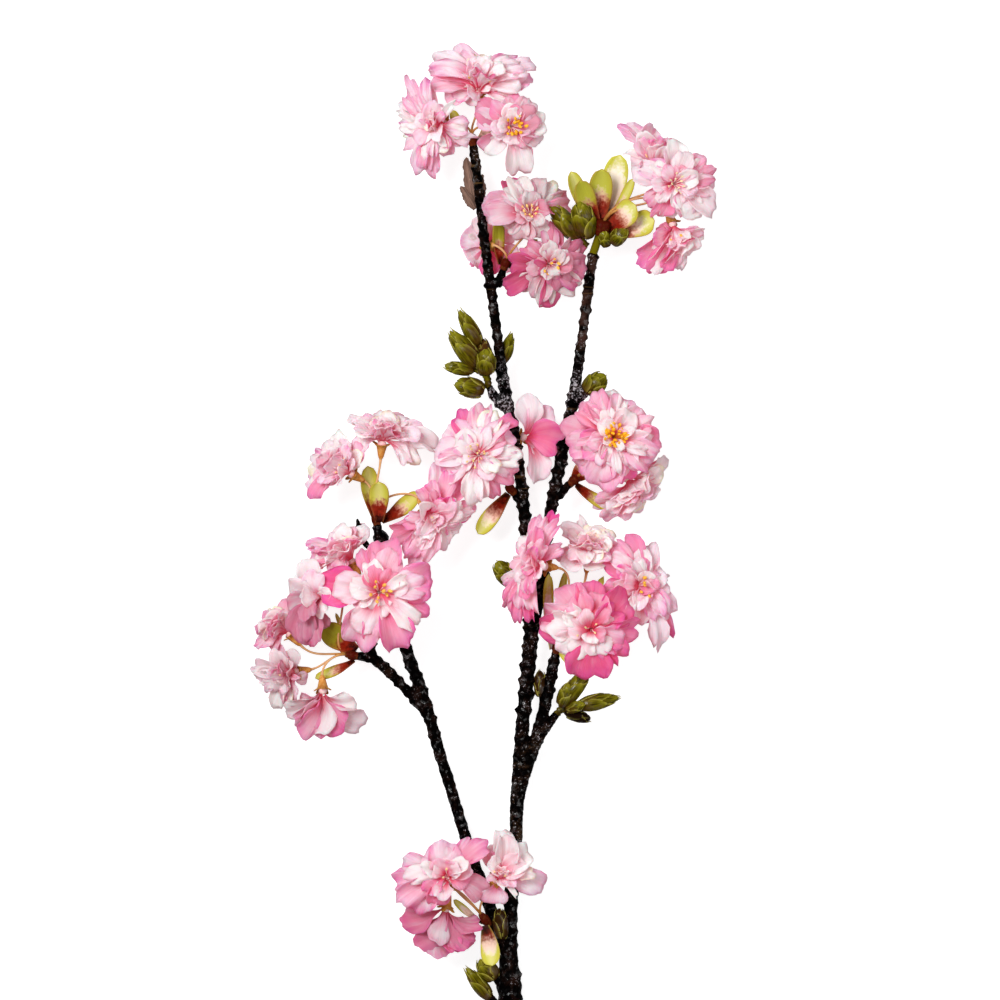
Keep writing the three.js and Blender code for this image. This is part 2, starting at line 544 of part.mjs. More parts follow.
// A swept stalk of even or tapering radius through points that are already in millimetres.
function stalkTube(curve, radii, steps, grow) {
  const sides = 3;
  const points = [];
  const faces = [];
  const frames = curve.computeFrenetFrames(steps, false);
  for (let k = 0; k <= steps; k++) {
    const t = k / steps;
    const centre = curve.getPointAt(t);
    const reach = THREE.MathUtils.lerp(radii[0], radii[1], t) + grow;
    for (let s = 0; s < sides; s++) {
      const angle = (s / sides) * 2 * Math.PI;
      points.push(centre.clone().addScaledVector(frames.normals[k], Math.cos(angle) * reach)
        .addScaledVector(frames.binormals[k], Math.sin(angle) * reach));
    }
  }
  for (let k = 0; k < steps; k++) {
    for (let s = 0; s < sides; s++) {
      const a = k * sides + s;
      const b = k * sides + ((s + 1) % sides);
      faces.push([a, b, a + sides], [b, b + sides, a + sides]);
    }
  }
  const last = steps * sides;
  for (let s = 1; s < sides - 1; s++) faces.push([0, s + 1, s], [last, last + s, last + s + 1]);
  return solidFrom(geometryOf(points, faces));
}

function stalkGroup(name, grow) {
  const { base, along } = clusterAxis(name);
  const top = base.clone().addScaledVector(along, clusters[name].length);
  const foot = base.clone().addScaledVector(along, -1);
  const radii = [peduncleRadius, peduncleRadius * 0.9];
  const parts = [stalkTube(new THREE.LineCurve3(foot, top), radii, 1, grow)];
  for (const bloom of bloomNames.filter((key) => key[0] === name)) {
    const frame = bloomFrame(blooms[bloom]);
    const axis = new THREE.Vector3().setFromMatrixColumn(frame, 2);
    const seat = new THREE.Vector3().setFromMatrixPosition(frame);
    const cup = new THREE.CylinderGeometry(calyx.topRadius + grow, calyx.bottomRadius + grow,
      calyx.top - calyx.bottom + grow, 5);
    cup.rotateX(Math.PI / 2).translate(0, 0, (calyx.top + calyx.bottom + grow) / 2);
    parts.push(solidFrom(cup).transform(frame.elements));
    const end = seat.clone().addScaledVector(axis, calyx.bottom + 1.2);
    const start = top.clone().addScaledVector(along, -1.2);
    const reach = start.distanceTo(end) * 0.4;
    const route = new THREE.CubicBezierCurve3(start, start.clone().addScaledVector(along, reach),
      end.clone().addScaledVector(axis, -reach), end);
    parts.push(stalkTube(route, [pedicelRadius * 1.2, pedicelRadius], 3, grow));
  }
  return joined(parts);
}

function woodSolid(grow) {
  const parts = Object.entries(limbs).map(([name, stops]) => {
    const long = stops.length > 5;
    return limb(stops, {
      sides: long ? 6 : 5,
      step: long ? ringStep.wood : ringStep.spur,
      swell: long ? ringSwell : [1, 1.1],
      grow,
    });
  });
  return joined(parts);
}

// The blooms that the sprig rests on are set to just touch the surface.
for (const [name, bloom] of Object.entries(blooms)) {
  if (bloom.rests) bloom.z -= bloomSolid(name, 0).boundingBox().min[2] + pressed;
}

// Every piece in the order in which it claims its space. A later one is trimmed clear of the earlier ones.
const pieces = [{ name: "branch", look: "wood", make: woodSolid }];
for (const name of Object.keys(clusters)) {
  pieces.push({ name: `stalks_${name}`, look: "stalk", make: (grow) => stalkGroup(name, grow) });
}
for (const name of Object.keys(bracts)) {
  pieces.push({ name: `bracts_${name}`, look: "bract", make: (grow) => bractGroup(name, grow) });
}
for (const name of Object.keys(buds)) {
  pieces.push({ name, look: "bud", make: (grow) => budGroup(name, grow) });
}
for (const name of bloomNames) {
  pieces.push({ name: `bloom_${name}`, look: "petal", make: (grow) => bloomSolid(name, grow) });
}

const boxOf = ({ min, max }) => new THREE.Box3(new THREE.Vector3(...min), new THREE.Vector3(...max));
const largest = (solids) => solids.reduce((a, b) => (b.volume() > a.volume() ? b : a));

const sprig = new THREE.Group();
const claimed = [];
for (const { name, look, make } of pieces) {
  let solid = make(0).trimByPlane([0, 0, 1], 0);
  const box = boxOf(solid.boundingBox());
  for (const other of claimed.filter((one) => one.box.intersectsBox(box))) {
    solid = solid.subtract(other.envelope);
  }
  solid = largest(solid.decompose()).simplify(0.004);
  const envelope = make(clearance);
  claimed.push({ name, envelope, box: boxOf(envelope.boundingBox()) });
  const mesh = new THREE.Mesh(geometryFrom(solid), materials[look]);
  mesh.name = name;
  sprig.add(mesh);
}

export default sprig;
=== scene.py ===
import json
import math

import bpy
import numpy as np
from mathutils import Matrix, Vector, noise

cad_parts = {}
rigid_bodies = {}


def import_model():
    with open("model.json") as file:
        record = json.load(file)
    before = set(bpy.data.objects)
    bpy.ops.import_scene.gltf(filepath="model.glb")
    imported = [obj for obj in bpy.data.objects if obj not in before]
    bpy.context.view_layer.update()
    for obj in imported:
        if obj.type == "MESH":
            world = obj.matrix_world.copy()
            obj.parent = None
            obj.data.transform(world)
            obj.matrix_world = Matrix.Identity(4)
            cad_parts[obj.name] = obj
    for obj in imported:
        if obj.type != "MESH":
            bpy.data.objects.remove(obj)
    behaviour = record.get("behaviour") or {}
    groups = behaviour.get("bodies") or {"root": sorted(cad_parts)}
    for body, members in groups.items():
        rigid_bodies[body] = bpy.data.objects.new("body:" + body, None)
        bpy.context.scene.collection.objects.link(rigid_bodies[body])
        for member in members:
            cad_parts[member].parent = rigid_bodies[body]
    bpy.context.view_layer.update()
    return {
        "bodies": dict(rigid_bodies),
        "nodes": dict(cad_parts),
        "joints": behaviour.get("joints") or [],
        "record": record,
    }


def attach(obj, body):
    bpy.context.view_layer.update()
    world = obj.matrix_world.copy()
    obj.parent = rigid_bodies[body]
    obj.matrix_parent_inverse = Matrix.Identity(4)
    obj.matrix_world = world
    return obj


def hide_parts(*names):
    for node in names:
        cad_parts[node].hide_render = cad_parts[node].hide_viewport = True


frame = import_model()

print("frame loaded:", len(frame["nodes"]), "nodes")

# All sizes are in millimetres and turn into metres when a mesh is made.
mm = 0.001
picture = {"mmPerPx": 0.5, "middlePx": (483.9, 543.1)}  # where a pixel of the photograph lies

# The camera looks straight down on the sprig, and +Y is up the picture.
camera = {"aimPx": (500, 500), "viewMm": 500, "heightMm": 4000, "sharpMm": 20, "sensorMm": 36}


def place(px, py, z):  # a pixel of the photograph and a height, in mm
    mx, my = picture["middlePx"]
    return np.array([(px - mx) * picture["mmPerPx"], (my - py) * picture["mmPerPx"], z], float)


def addCamera():
    data = bpy.data.cameras.new("camera")
    data.sensor_width = camera["sensorMm"]
    data.lens = camera["sensorMm"] * (camera["heightMm"] - camera["sharpMm"]) / camera["viewMm"]
    data.clip_end = 100
    eye = bpy.data.objects.new("camera", data)
    eye.location = place(*camera["aimPx"], camera["heightMm"]) * mm
    bpy.context.scene.collection.objects.link(eye)
    bpy.context.scene.camera = eye


addCamera()
print("camera placed")


def unit(v):
    v = np.asarray(v, float)
    return v / np.linalg.norm(v)


def ease(low, high, x):
    t = np.clip((np.asarray(x, float) - low) / (high - low), 0, 1)
    return t * t * (3 - 2 * t)


def chance(a, b, c):  # always the same number for the same three, from 0 to 1
    s = math.sin(a * 12.9898 + b * 78.233 + c * 37.719) * 43758.5453
    return s - math.floor(s)


def smoothPath(stops, step):
    # A centripetal curve through stops of [x, y, z, radius], with a point about every step.
    stops = np.asarray(stops, float)
    spots = stops[:, :3]
    spots = np.vstack([2 * spots[0] - spots[1], spots, 2 * spots[-1] - spots[-2]])
    rows = []
    for k in range(len(stops) - 1):
        a, b, c, d = spots[k:k + 4]
        ta, tb, tc = (max(np.linalg.norm(q - p), 0.01) ** 0.5 for p, q in ((a, b), (b, c), (c, d)))
        leave = ((b - a) / ta - (c - a) / (ta + tb) + (c - b) / tb) * tb
        arrive = ((c - b) / tb - (d - b) / (tb + tc) + (d - c) / tc) * tb
        pieces = max(2, round(np.linalg.norm(c - b) / step))
        for t in np.arange(pieces + (k == len(stops) - 2)) / pieces:
            spot = (b * (1 - 3 * t * t + 2 * t ** 3) + c * (3 * t * t - 2 * t ** 3)
                    + leave * (t - 2 * t * t + t ** 3) + arrive * (t ** 3 - t * t))
            radius = stops[k, 3] + (stops[k + 1, 3] - stops[k, 3]) * t
            rows.append([*spot, radius])
    return np.array(rows)


looksPerPoint = 8
sheetRim = 0.6  # how thick a sheet is at its rim, as a share of its middle


class Shape:
    # Gathers sheets and tubes, then makes them one mesh. look is up to eight numbers that the material reads.
    def __init__(self):
        self.points, self.uvs, self.looks, self.faces, self.finishes = [], [], [], [], []
        self.total = 0

    def addPoints(self, points, uv, look):
        points = np.asarray(points, float).reshape(-1, 3)
        self.points.append(points)
        self.uvs.append(np.broadcast_to(np.asarray(uv, float), (len(points), 2)))
        look = np.broadcast_to(np.asarray(look, float), (len(points), np.shape(look)[-1]))
        self.looks.append(np.pad(look, ((0, 0), (0, looksPerPoint - look.shape[1]))))
        start = self.total
        self.total += len(points)
        return start

    def addFaces(self, faces, finish):
        faces = np.asarray(faces).tolist()
        self.faces.extend(faces)
        self.finishes.extend([finish] * len(faces))

    def addSheet(self, grid, uv, look, thickness, finish=0):
        # A thin closed leaf round a grid of points (rows, columns, 3), thinner at its rim.
        rows, cols = grid.shape[:2]
        normal = np.cross(np.gradient(grid, axis=0), np.gradient(grid, axis=1))
        normal /= np.linalg.norm(normal, axis=2, keepdims=True) + 1e-12
        half = np.full((rows, cols, 1), thickness / 2)
        half[-1] = half[:, 0] = half[:, -1] = thickness / 2 * sheetRim
        size = rows * cols
        both = np.vstack([(grid + normal * half).reshape(-1, 3), (grid - normal * half).reshape(-1, 3)])
        start = self.addPoints(both, np.vstack([uv.reshape(-1, 2)] * 2), look)
        at = np.arange(size).reshape(rows, cols)
        quads = np.stack([at[:-1, :-1], at[1:, :-1], at[1:, 1:], at[:-1, 1:]], axis=2).reshape(-1, 4)
        rim = np.concatenate([at[0, :-1], at[:-1, -1], at[-1, :0:-1], at[:0:-1, 0]])
        after = np.roll(rim, -1)
        wall = np.stack([rim, after, after + size, rim + size], axis=1)
        self.addFaces(quads + start, finish)
        self.addFaces(quads[:, ::-1] + size + start, finish)
        self.addFaces(wall + start, finish)

    def addTube(self, path, radii, look, sides=6, finish=0):
        # A closed tube along path. radii is one number a stop, or a row of sides numbers a stop.
        path = np.asarray(path, float)
        count = len(path)
        radii = np.asarray(radii, float)
        if radii.ndim < 2:
            radii = np.repeat(np.broadcast_to(radii, (count,))[:, None], sides, axis=1)
        along = np.gradient(path, axis=0)
        along /= np.linalg.norm(along, axis=1, keepdims=True)
        side = np.cross(along[0], [0.31, 0.17, 0.93])  # any direction that no tube starts in
        angle = np.arange(sides) / sides * 2 * math.pi
        rings = []
        for k in range(count):
            side = side - along[k] * np.dot(side, along[k])
            side /= np.linalg.norm(side)
            other = np.cross(along[k], side)
            turn = np.cos(angle)[:, None] * side + np.sin(angle)[:, None] * other
            rings.append(path[k] + turn * radii[k][:, None])
        share = np.repeat(np.linspace(0, 1, count), sides)
        uv = np.stack([np.tile(np.arange(sides) / sides, count), share], axis=1)
        look = np.asarray(look, float)
        if look.ndim == 2:
            look = np.repeat(look, sides, axis=0)
        start = self.addPoints(np.array(rings), uv, look)
        at = np.arange(count * sides).reshape(count, sides)
        after = np.roll(at, -1, axis=1)
        quads = np.stack([at[:-1], after[:-1], after[1:], at[1:]], axis=2).reshape(-1, 4)
        self.addFaces(quads + start, finish)
        self.addFaces([at[0, ::-1] + start, at[-1] + start], finish)

    def make(self, name, materials, nodes=()):
        mesh = bpy.data.meshes.new(name)
        mesh.from_pydata((np.vstack(self.points) * mm).tolist(), [], self.faces)
        corners = np.empty(len(mesh.loops), np.int32)
        mesh.loops.foreach_get("vertex_index", corners)
        layer = mesh.uv_layers.new(name="UVMap")
        layer.data.foreach_set("uv", np.vstack(self.uvs)[corners].astype(np.float32).ravel())
        looks = np.vstack(self.looks).astype(np.float32)
        for channel, columns in (("look", looks[:, :4]), ("more", looks[:, 4:])):
            layer = mesh.attributes.new(channel, "FLOAT_COLOR", "POINT")
            layer.data.foreach_set("color", columns.ravel())
        mesh.polygons.foreach_set("material_index", np.array(self.finishes, np.int32))
        return addPiece(name, mesh, materials, nodes)


def addPiece(name, mesh, materials, nodes):
    mesh.polygons.foreach_set("use_smooth", np.ones(len(mesh.polygons), bool))
    for material in materials:
        mesh.materials.append(material)
    mesh.update()
    piece = bpy.data.objects.new(name, mesh)
    bpy.context.scene.collection.objects.link(piece)
    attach(piece, "root")
    if nodes:
        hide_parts(*nodes)
    return piece


def colour(code):  # "#rrggbb" as the eye sees it, into the numbers that a shader takes
    parts = [int(code[k:k + 2], 16) / 255 for k in (1, 3, 5)]
    return (*[p / 12.92 if p <= 0.04045 else ((p + 0.055) / 1.055) ** 2.4 for p in parts], 1)


def palette(codes):
    return {name: colour(code) for name, code in codes.items()}


class Finish:
    # A material's nodes, with a short call for each kind that is used here.
    def __init__(self, name, **shader):
        self.material = bpy.data.materials.new(name)
        self.material.use_nodes = True
        self.tree = self.material.node_tree
        self.shader = self.tree.nodes["Principled BSDF"]
        for socket, value in shader.items():
            self.shader.inputs[socketNames.get(socket, socket.capitalize())].default_value = value

    def put(self, target, value):
        if isinstance(value, bpy.types.NodeSocket):
            self.tree.links.new(value, target)
        else:
            target.default_value = value

    def node(self, kind, inputs=(), **settings):
        made = self.tree.nodes.new("ShaderNode" + kind)
        for key, value in settings.items():
            setattr(made, key, value)
        for key, value in dict(inputs).items():
            self.put(made.inputs[key], value)
        return made

    def sums(self, operation, a, b=0.0, c=0.0, clamp=False):
        made = self.node("Math", {0: a, 1: b, 2: c}, operation=operation)
        made.use_clamp = clamp
        return made.outputs[0]

    def mix(self, factor, a, b):
        return self.node("Mix", {0: factor, 6: a, 7: b}, data_type="RGBA").outputs[2]

    def ramp(self, value, low, high, to=(0.0, 1.0)):
        inputs = {0: value, 1: low, 2: high, 3: to[0], 4: to[1]}
        return self.node("MapRange", inputs, interpolation_type="SMOOTHSTEP").outputs[0]

    def grain(self, vector, scale, detail=3.0, roughness=0.55):
        inputs = {"Vector": vector, "Scale": scale, "Detail": detail, "Roughness": roughness}
        return self.node("TexNoise", inputs).outputs[0]

    def stretched(self, x, y, z=0.0):
        return self.node("CombineXYZ", {0: x, 1: y, 2: z}).outputs[0]

    def place(self):
        return self.node("TexCoord").outputs["Object"]

    def sheet(self):  # across from -1 to 1, along from 0 to 1, and the four numbers of the piece's look
        uv = self.node("SeparateXYZ", {0: self.node("UVMap", uv_map="UVMap").outputs[0]}).outputs
        look = self.node("Attribute", attribute_name="look")
        parts = self.node("SeparateColor", {0: look.outputs["Color"]}).outputs
        return uv[0], uv[1], parts[0], parts[1], parts[2], look.outputs["Alpha"]

    def bump(self, height, distance, strength=1.0, normal=None):
        inputs = {"Height": height, "Distance": distance * mm, "Strength": strength}
        if normal:
            inputs["Normal"] = normal
        return self.node("Bump", inputs).outputs[0]

    def wear(self, socket, value):
        self.put(self.shader.inputs[socket], value)


socketNames = {
    "specular": "Specular IOR Level", "subsurface": "Subsurface Weight", "glow": "Subsurface Radius",
    "depth": "Subsurface Scale",
}

petalColours = {
    "coral": "#d6384c", "deep": "#d84d80", "pink": "#e289a9", "pale": "#ecdae5", "rim": "#d648a0",
    "cream": "#f6f0ee", "creamTip": "#eeeaa8", "paintedShade": "#a04c58", "paintedGreyShade": "#a48c86",
    "through": "#ff4062",
}


def petalFinish():
    # look: how pink, how tinted its rim, how white outwards, how far the coral of its foot reaches.
    # more: how much painted shade darkens it, and a number of its own.
    f = Finish("petal", roughness=0.55, specular=0.2, subsurface=0.5, glow=(1.0, 0.26, 0.32), depth=1.5 * mm)
    c = palette(petalColours)
    # Painted glow: the petals give off a faint pink light of their own, which stands in for light coming
    # through them and warms their shaded parts.
    f.wear("Emission Color", c["through"])
    across, along, pink, rim, cream, coral = f.sheet()
    more = f.node("SeparateColor", {0: f.node("Attribute", attribute_name="more").outputs["Color"]}).outputs
    ownWay = f.sums("MULTIPLY", more[1], 41.0)
    broad = f.stretched(f.sums("MULTIPLY", across, 4.0), f.sums("MULTIPLY", along, 0.8), ownWay)
    broad = f.grain(broad, 1.0)
    veins = f.stretched(f.sums("MULTIPLY", across, 15.0), f.sums("MULTIPLY", along, 1.3), ownWay)
    veins = f.grain(veins, 1.0, 2.0)
    blotch = f.sums("SUBTRACT", f.grain(f.place(), 95.0, 2.0), 0.5)
    streak = f.sums("SUBTRACT", broad, 0.5)
    vein = f.sums("SUBTRACT", veins, 0.5)
    wander = f.sums("ADD", along, f.sums("MULTIPLY", streak, 0.5))
    pinkness = f.sums("ADD", pink, f.sums("MULTIPLY", streak, 0.6))
    pinkness = f.sums("ADD", pinkness, f.sums("MULTIPLY", blotch, 0.5))
    pinkness = f.sums("ADD", pinkness, f.ramp(along, 0.75, 0.1, (0.0, 0.22)), clamp=True)
    tone = f.mix(f.ramp(pinkness, 0.05, 0.62), c["pale"], c["pink"])
    tone = f.mix(f.ramp(pinkness, 0.6, 1.0, (0.0, 0.9)), tone, c["deep"])
    veinMark = f.sums("MULTIPLY", f.ramp(vein, 0.02, 0.22, (0.0, 0.4)), f.ramp(along, 1.0, 0.4))
    tone = f.mix(f.sums("MULTIPLY", veinMark, f.sums("ADD", pink, 0.25)), tone, c["rim"])
    tone = f.mix(f.sums("MULTIPLY", f.ramp(wander, 0.3, 0.75), cream), tone, c["cream"])
    tip = f.sums("MULTIPLY", f.ramp(wander, 0.85, 1.0), f.ramp(cream, 0.93, 1.0, (0.0, 0.5)))
    tone = f.mix(tip, tone, c["creamTip"])
    edge = f.sums("POWER", f.sums("ABSOLUTE", across), 4.0)
    edge = f.sums("MAXIMUM", f.sums("MULTIPLY", edge, f.ramp(along, 0.2, 0.6)), f.ramp(along, 0.64, 1.0))
    edge = f.sums("MULTIPLY", edge, f.sums("ADD", 0.6, f.sums("MULTIPLY", streak, 1.8)), clamp=True)
    tone = f.mix(f.sums("MULTIPLY", edge, rim), tone, c["rim"])
    # The deep coral at each petal's foot is its own colour, and is also darkened as painted shade deep in the
    # bloom.
    reach = f.sums("ADD", 0.2, f.sums("MULTIPLY", coral, 0.75))
    foot = f.ramp(f.sums("ADD", along, f.sums("MULTIPLY", vein, 0.55)), reach, -0.05)
    tone = f.mix(f.sums("MULTIPLY", foot, 0.92), tone, c["coral"])
    # Painted shade: petals that lie deep in a bloom or under others are darkened towards a dusky rose, and
    # towards a warm grey where they are pale.
    paintedShade = f.mix(f.ramp(pinkness, 0.12, 0.42), c["paintedGreyShade"], c["paintedShade"])
    tone = f.mix(f.sums("MULTIPLY", more[0], 0.75), tone, paintedShade)
    f.wear("Base Color", tone)
    through = f.ramp(more[0], 0.1, 0.8, (0.14, 0.02))  # painted glow, standing in for light coming through the petal; weaker where there is more painted shade
    f.wear("Emission Strength", f.sums("MULTIPLY", through, f.ramp(pinkness, 0.05, 0.5, (0.75, 1.0))))
    weave = f.sums("MULTIPLY", f.grain(f.place(), 620.0), 0.25)
    relief = f.sums("ADD", f.sums("MULTIPLY", veins, 0.8), weave)
    relief = f.sums("ADD", relief, f.sums("MULTIPLY", broad, 0.5))
    f.wear("Normal", f.bump(relief, 0.45, 0.85))
    return f.material


stamenColours = {
    "foot": "#f7a0b0", "end": "#fdeee4", "amber": "#ffa726", "yellow": "#ffd020", "orange": "#fb960c",
    "cream": "#fdf0c0",
}


def stamenFinish():
    # look: how orange the head is, whether the stalk is amber, and whether it is a head
    f = Finish("stamen", roughness=0.5, subsurface=0.15, glow=(0.8, 0.5, 0.3), depth=1.0 * mm)
    c = palette(stamenColours)
    along, warm, amber, anther = f.sheet()[1:5]
    stalkTone = f.mix(along, c["foot"], c["end"])
    stalkTone = f.mix(amber, stalkTone, c["amber"])
    grain = f.grain(f.place(), 900.0)
    head = f.mix(grain, c["yellow"], c["orange"])
    head = f.mix(warm, c["cream"], head)
    f.wear("Base Color", f.mix(anther, stalkTone, head))
    f.wear("Normal", f.bump(grain, 0.2, 0.7))
    return f.material


stalkColours = {
    "tan": "#c67c36", "straw": "#e8b062", "pale": "#eec096", "green": "#6a6206", "darkRed": "#280301",
    "redBrown": "#5e160a",
}


def stalkFinish():
    # look: how red-brown it is, how green, and how pale
    f = Finish("stalk", roughness=0.45, specular=0.03, subsurface=0.08, glow=(0.6, 0.35, 0.15),
               depth=1.0 * mm)
    c = palette(stalkColours)
    brown, green, pale = f.sheet()[2:5]
    speckle = f.grain(f.place(), 700.0, 4.0)
    tone = f.mix(f.ramp(speckle, 0.35, 0.7), c["tan"], c["straw"])
    tone = f.mix(pale, tone, c["pale"])
    tone = f.mix(green, tone, c["green"])
    redBrown = f.mix(speckle, c["darkRed"], c["redBrown"])
    tone = f.mix(f.sums("ADD", brown, f.sums("MULTIPLY", f.sums("SUBTRACT", speckle, 0.5), 0.5), clamp=True),
                 tone, redBrown)
    f.wear("Base Color", tone)
    f.wear("Normal", f.bump(speckle, 0.25, 0.6))
    return f.material


bractColours = {
    "fresh": "#cdca4a", "olive": "#827c08", "middle": "#f0e8b0", "cream": "#fffbee", "blush": "#fae6d2",
    "peach": "#d98f72", "darkRed": "#5c0502", "red": "#a02c16", "foot": "#2a0401", "limeRim": "#d8d860",
    "tanRim": "#9c5a34",
}


def bractFinish():
    # look: where green starts, how red its foot is, and how olive it is
    f = Finish("young leaf", roughness=0.4, specular=0.03, subsurface=0.12, glow=(0.5, 0.6, 0.2),
               depth=1.5 * mm)
    c = palette(bractColours)
    across, along, greenFrom, red, olive, own = f.sheet()
    ownWay = f.sums("MULTIPLY", own, 23.0)
    veins = f.grain(f.stretched(f.sums("MULTIPLY", across, 9.0), f.sums("MULTIPLY", along, 3.0), ownWay), 1.0)
    speckle = f.grain(f.place(), 520.0, 4.0)
    wander = f.sums("ADD", along, f.sums("MULTIPLY", f.sums("SUBTRACT", veins, 0.5), 0.14))
    wander = f.sums("ADD", wander, f.sums("MULTIPLY", f.sums("SUBTRACT", speckle, 0.5), 0.45))
    fresh = f.mix(olive, c["fresh"], c["olive"])
    middle = f.ramp(f.sums("ABSOLUTE", across), 0.8, 0.15)
    fresh = f.mix(f.sums("MULTIPLY", middle, f.sums("SUBTRACT", 0.4, olive), clamp=True), fresh, c["middle"])
    blush = f.mix(speckle, c["cream"], c["blush"])
    peach = f.sums("MULTIPLY", f.ramp(wander, 0.82, 0.42, (0.0, 0.9)), red)
    blush = f.mix(peach, blush, c["peach"])
    nearRim = f.sums("MULTIPLY", f.sums("POWER", f.sums("ABSOLUTE", across), 3.0), 0.3)
    green = f.ramp(f.sums("SUBTRACT", f.sums("ADD", wander, nearRim), greenFrom), -0.1, 0.14)
    tone = f.mix(green, blush, fresh)
    foot = f.ramp(f.sums("SUBTRACT", f.sums("ADD", wander, 0.3), f.sums("MULTIPLY", red, 0.3)), 0.62, 0.34)
    redBrown = f.mix(speckle, c["darkRed"], c["red"])
    redBrown = f.mix(f.ramp(wander, 0.3, 0.05), redBrown, c["foot"])
    tone = f.mix(f.sums("MULTIPLY", foot, f.ramp(red, 0.0, 0.6)), tone, redBrown)
    rim = f.sums("POWER", f.sums("ABSOLUTE", across), 6.0)
    tone = f.mix(f.sums("MULTIPLY", rim, 0.5), tone, f.mix(red, c["limeRim"], c["tanRim"]))
    f.wear("Base Color", tone)
    relief = f.sums("ADD", f.sums("MULTIPLY", veins, 0.7), f.sums("MULTIPLY", speckle, 0.3))
    f.wear("Normal", f.bump(relief, 0.4, 0.7))
    return f.material


budColours = {
    "darkGreen": "#2a2601", "green": "#685f0a", "patch": "#4a3208", "tip": "#a09c22", "darkBrown": "#1c0e04",
    "brown": "#5e3a12", "black": "#080202", "rim": "#c9bd55",
}


def budFinish():
    # look: how brown its foot is, which is partly painted shade between the scales, how brown all of it is
    # and above 1 how black, and how yellow its rim
    f = Finish("bud scale", roughness=0.24)
    c = palette(budColours)
    across, along, foot, dry, rimTone, own = f.sheet()
    ownWay = f.sums("MULTIPLY", own, 31.0)
    veins = f.grain(f.stretched(f.sums("MULTIPLY", across, 6.0), f.sums("MULTIPLY", along, 2.0), ownWay), 1.0)
    speckle = f.grain(f.place(), 420.0, 4.0)
    green = f.mix(f.ramp(veins, 0.3, 0.7), c["darkGreen"], c["green"])
    patches = f.grain(f.place(), 130.0, 3.0)
    green = f.mix(f.ramp(patches, 0.5, 0.64, (0.0, 0.75)), green, c["patch"])
    green = f.mix(f.ramp(along, 0.55, 1.0, (0.0, 0.5)), green, c["tip"])
    brown = f.mix(speckle, c["darkBrown"], c["brown"])
    # Black on the darkest buds: partly dried, partly painted shade on buds that lie in shade.
    brown = f.mix(f.ramp(dry, 1.4, 1.9, (0.0, 0.9)), brown, c["black"])
    stray = f.sums("SUBTRACT", speckle, 0.5)
    # The foot of each scale darkens to brown: partly its own colour, partly painted shade where the scales
    # overlap.
    low = f.ramp(f.sums("ADD", along, f.sums("MULTIPLY", stray, 0.6)), 0.55, 0.05)
    allOver = f.ramp(f.sums("ADD", dry, f.sums("MULTIPLY", stray, 0.8)), 0.45, 0.75)
    tone = f.mix(f.sums("MAXIMUM", f.sums("MULTIPLY", low, foot), allOver), green, brown)
    rim = f.sums("MAXIMUM", f.sums("POWER", f.sums("ABSOLUTE", across), 8.0), f.ramp(along, 0.86, 1.0))
    tone = f.mix(f.sums("MULTIPLY", rim, rimTone), tone, c["rim"])
    f.wear("Base Color", tone)
    f.wear("Specular IOR Level", f.ramp(f.grain(f.place(), 260.0), 0.5, 0.66, (0.02, 0.5)))
    relief = f.sums("ADD", f.sums("MULTIPLY", veins, 0.6), f.sums("MULTIPLY", speckle, 0.4))
    f.wear("Normal", f.bump(relief, 0.35, 0.7))
    return f.material


barkColours = {
    "black": "#020101", "brown": "#25140e", "olive": "#43321c", "young": "#4a3028", "ring": "#6e5230",
    "dustAndGlint": "#b9b2b8",
}


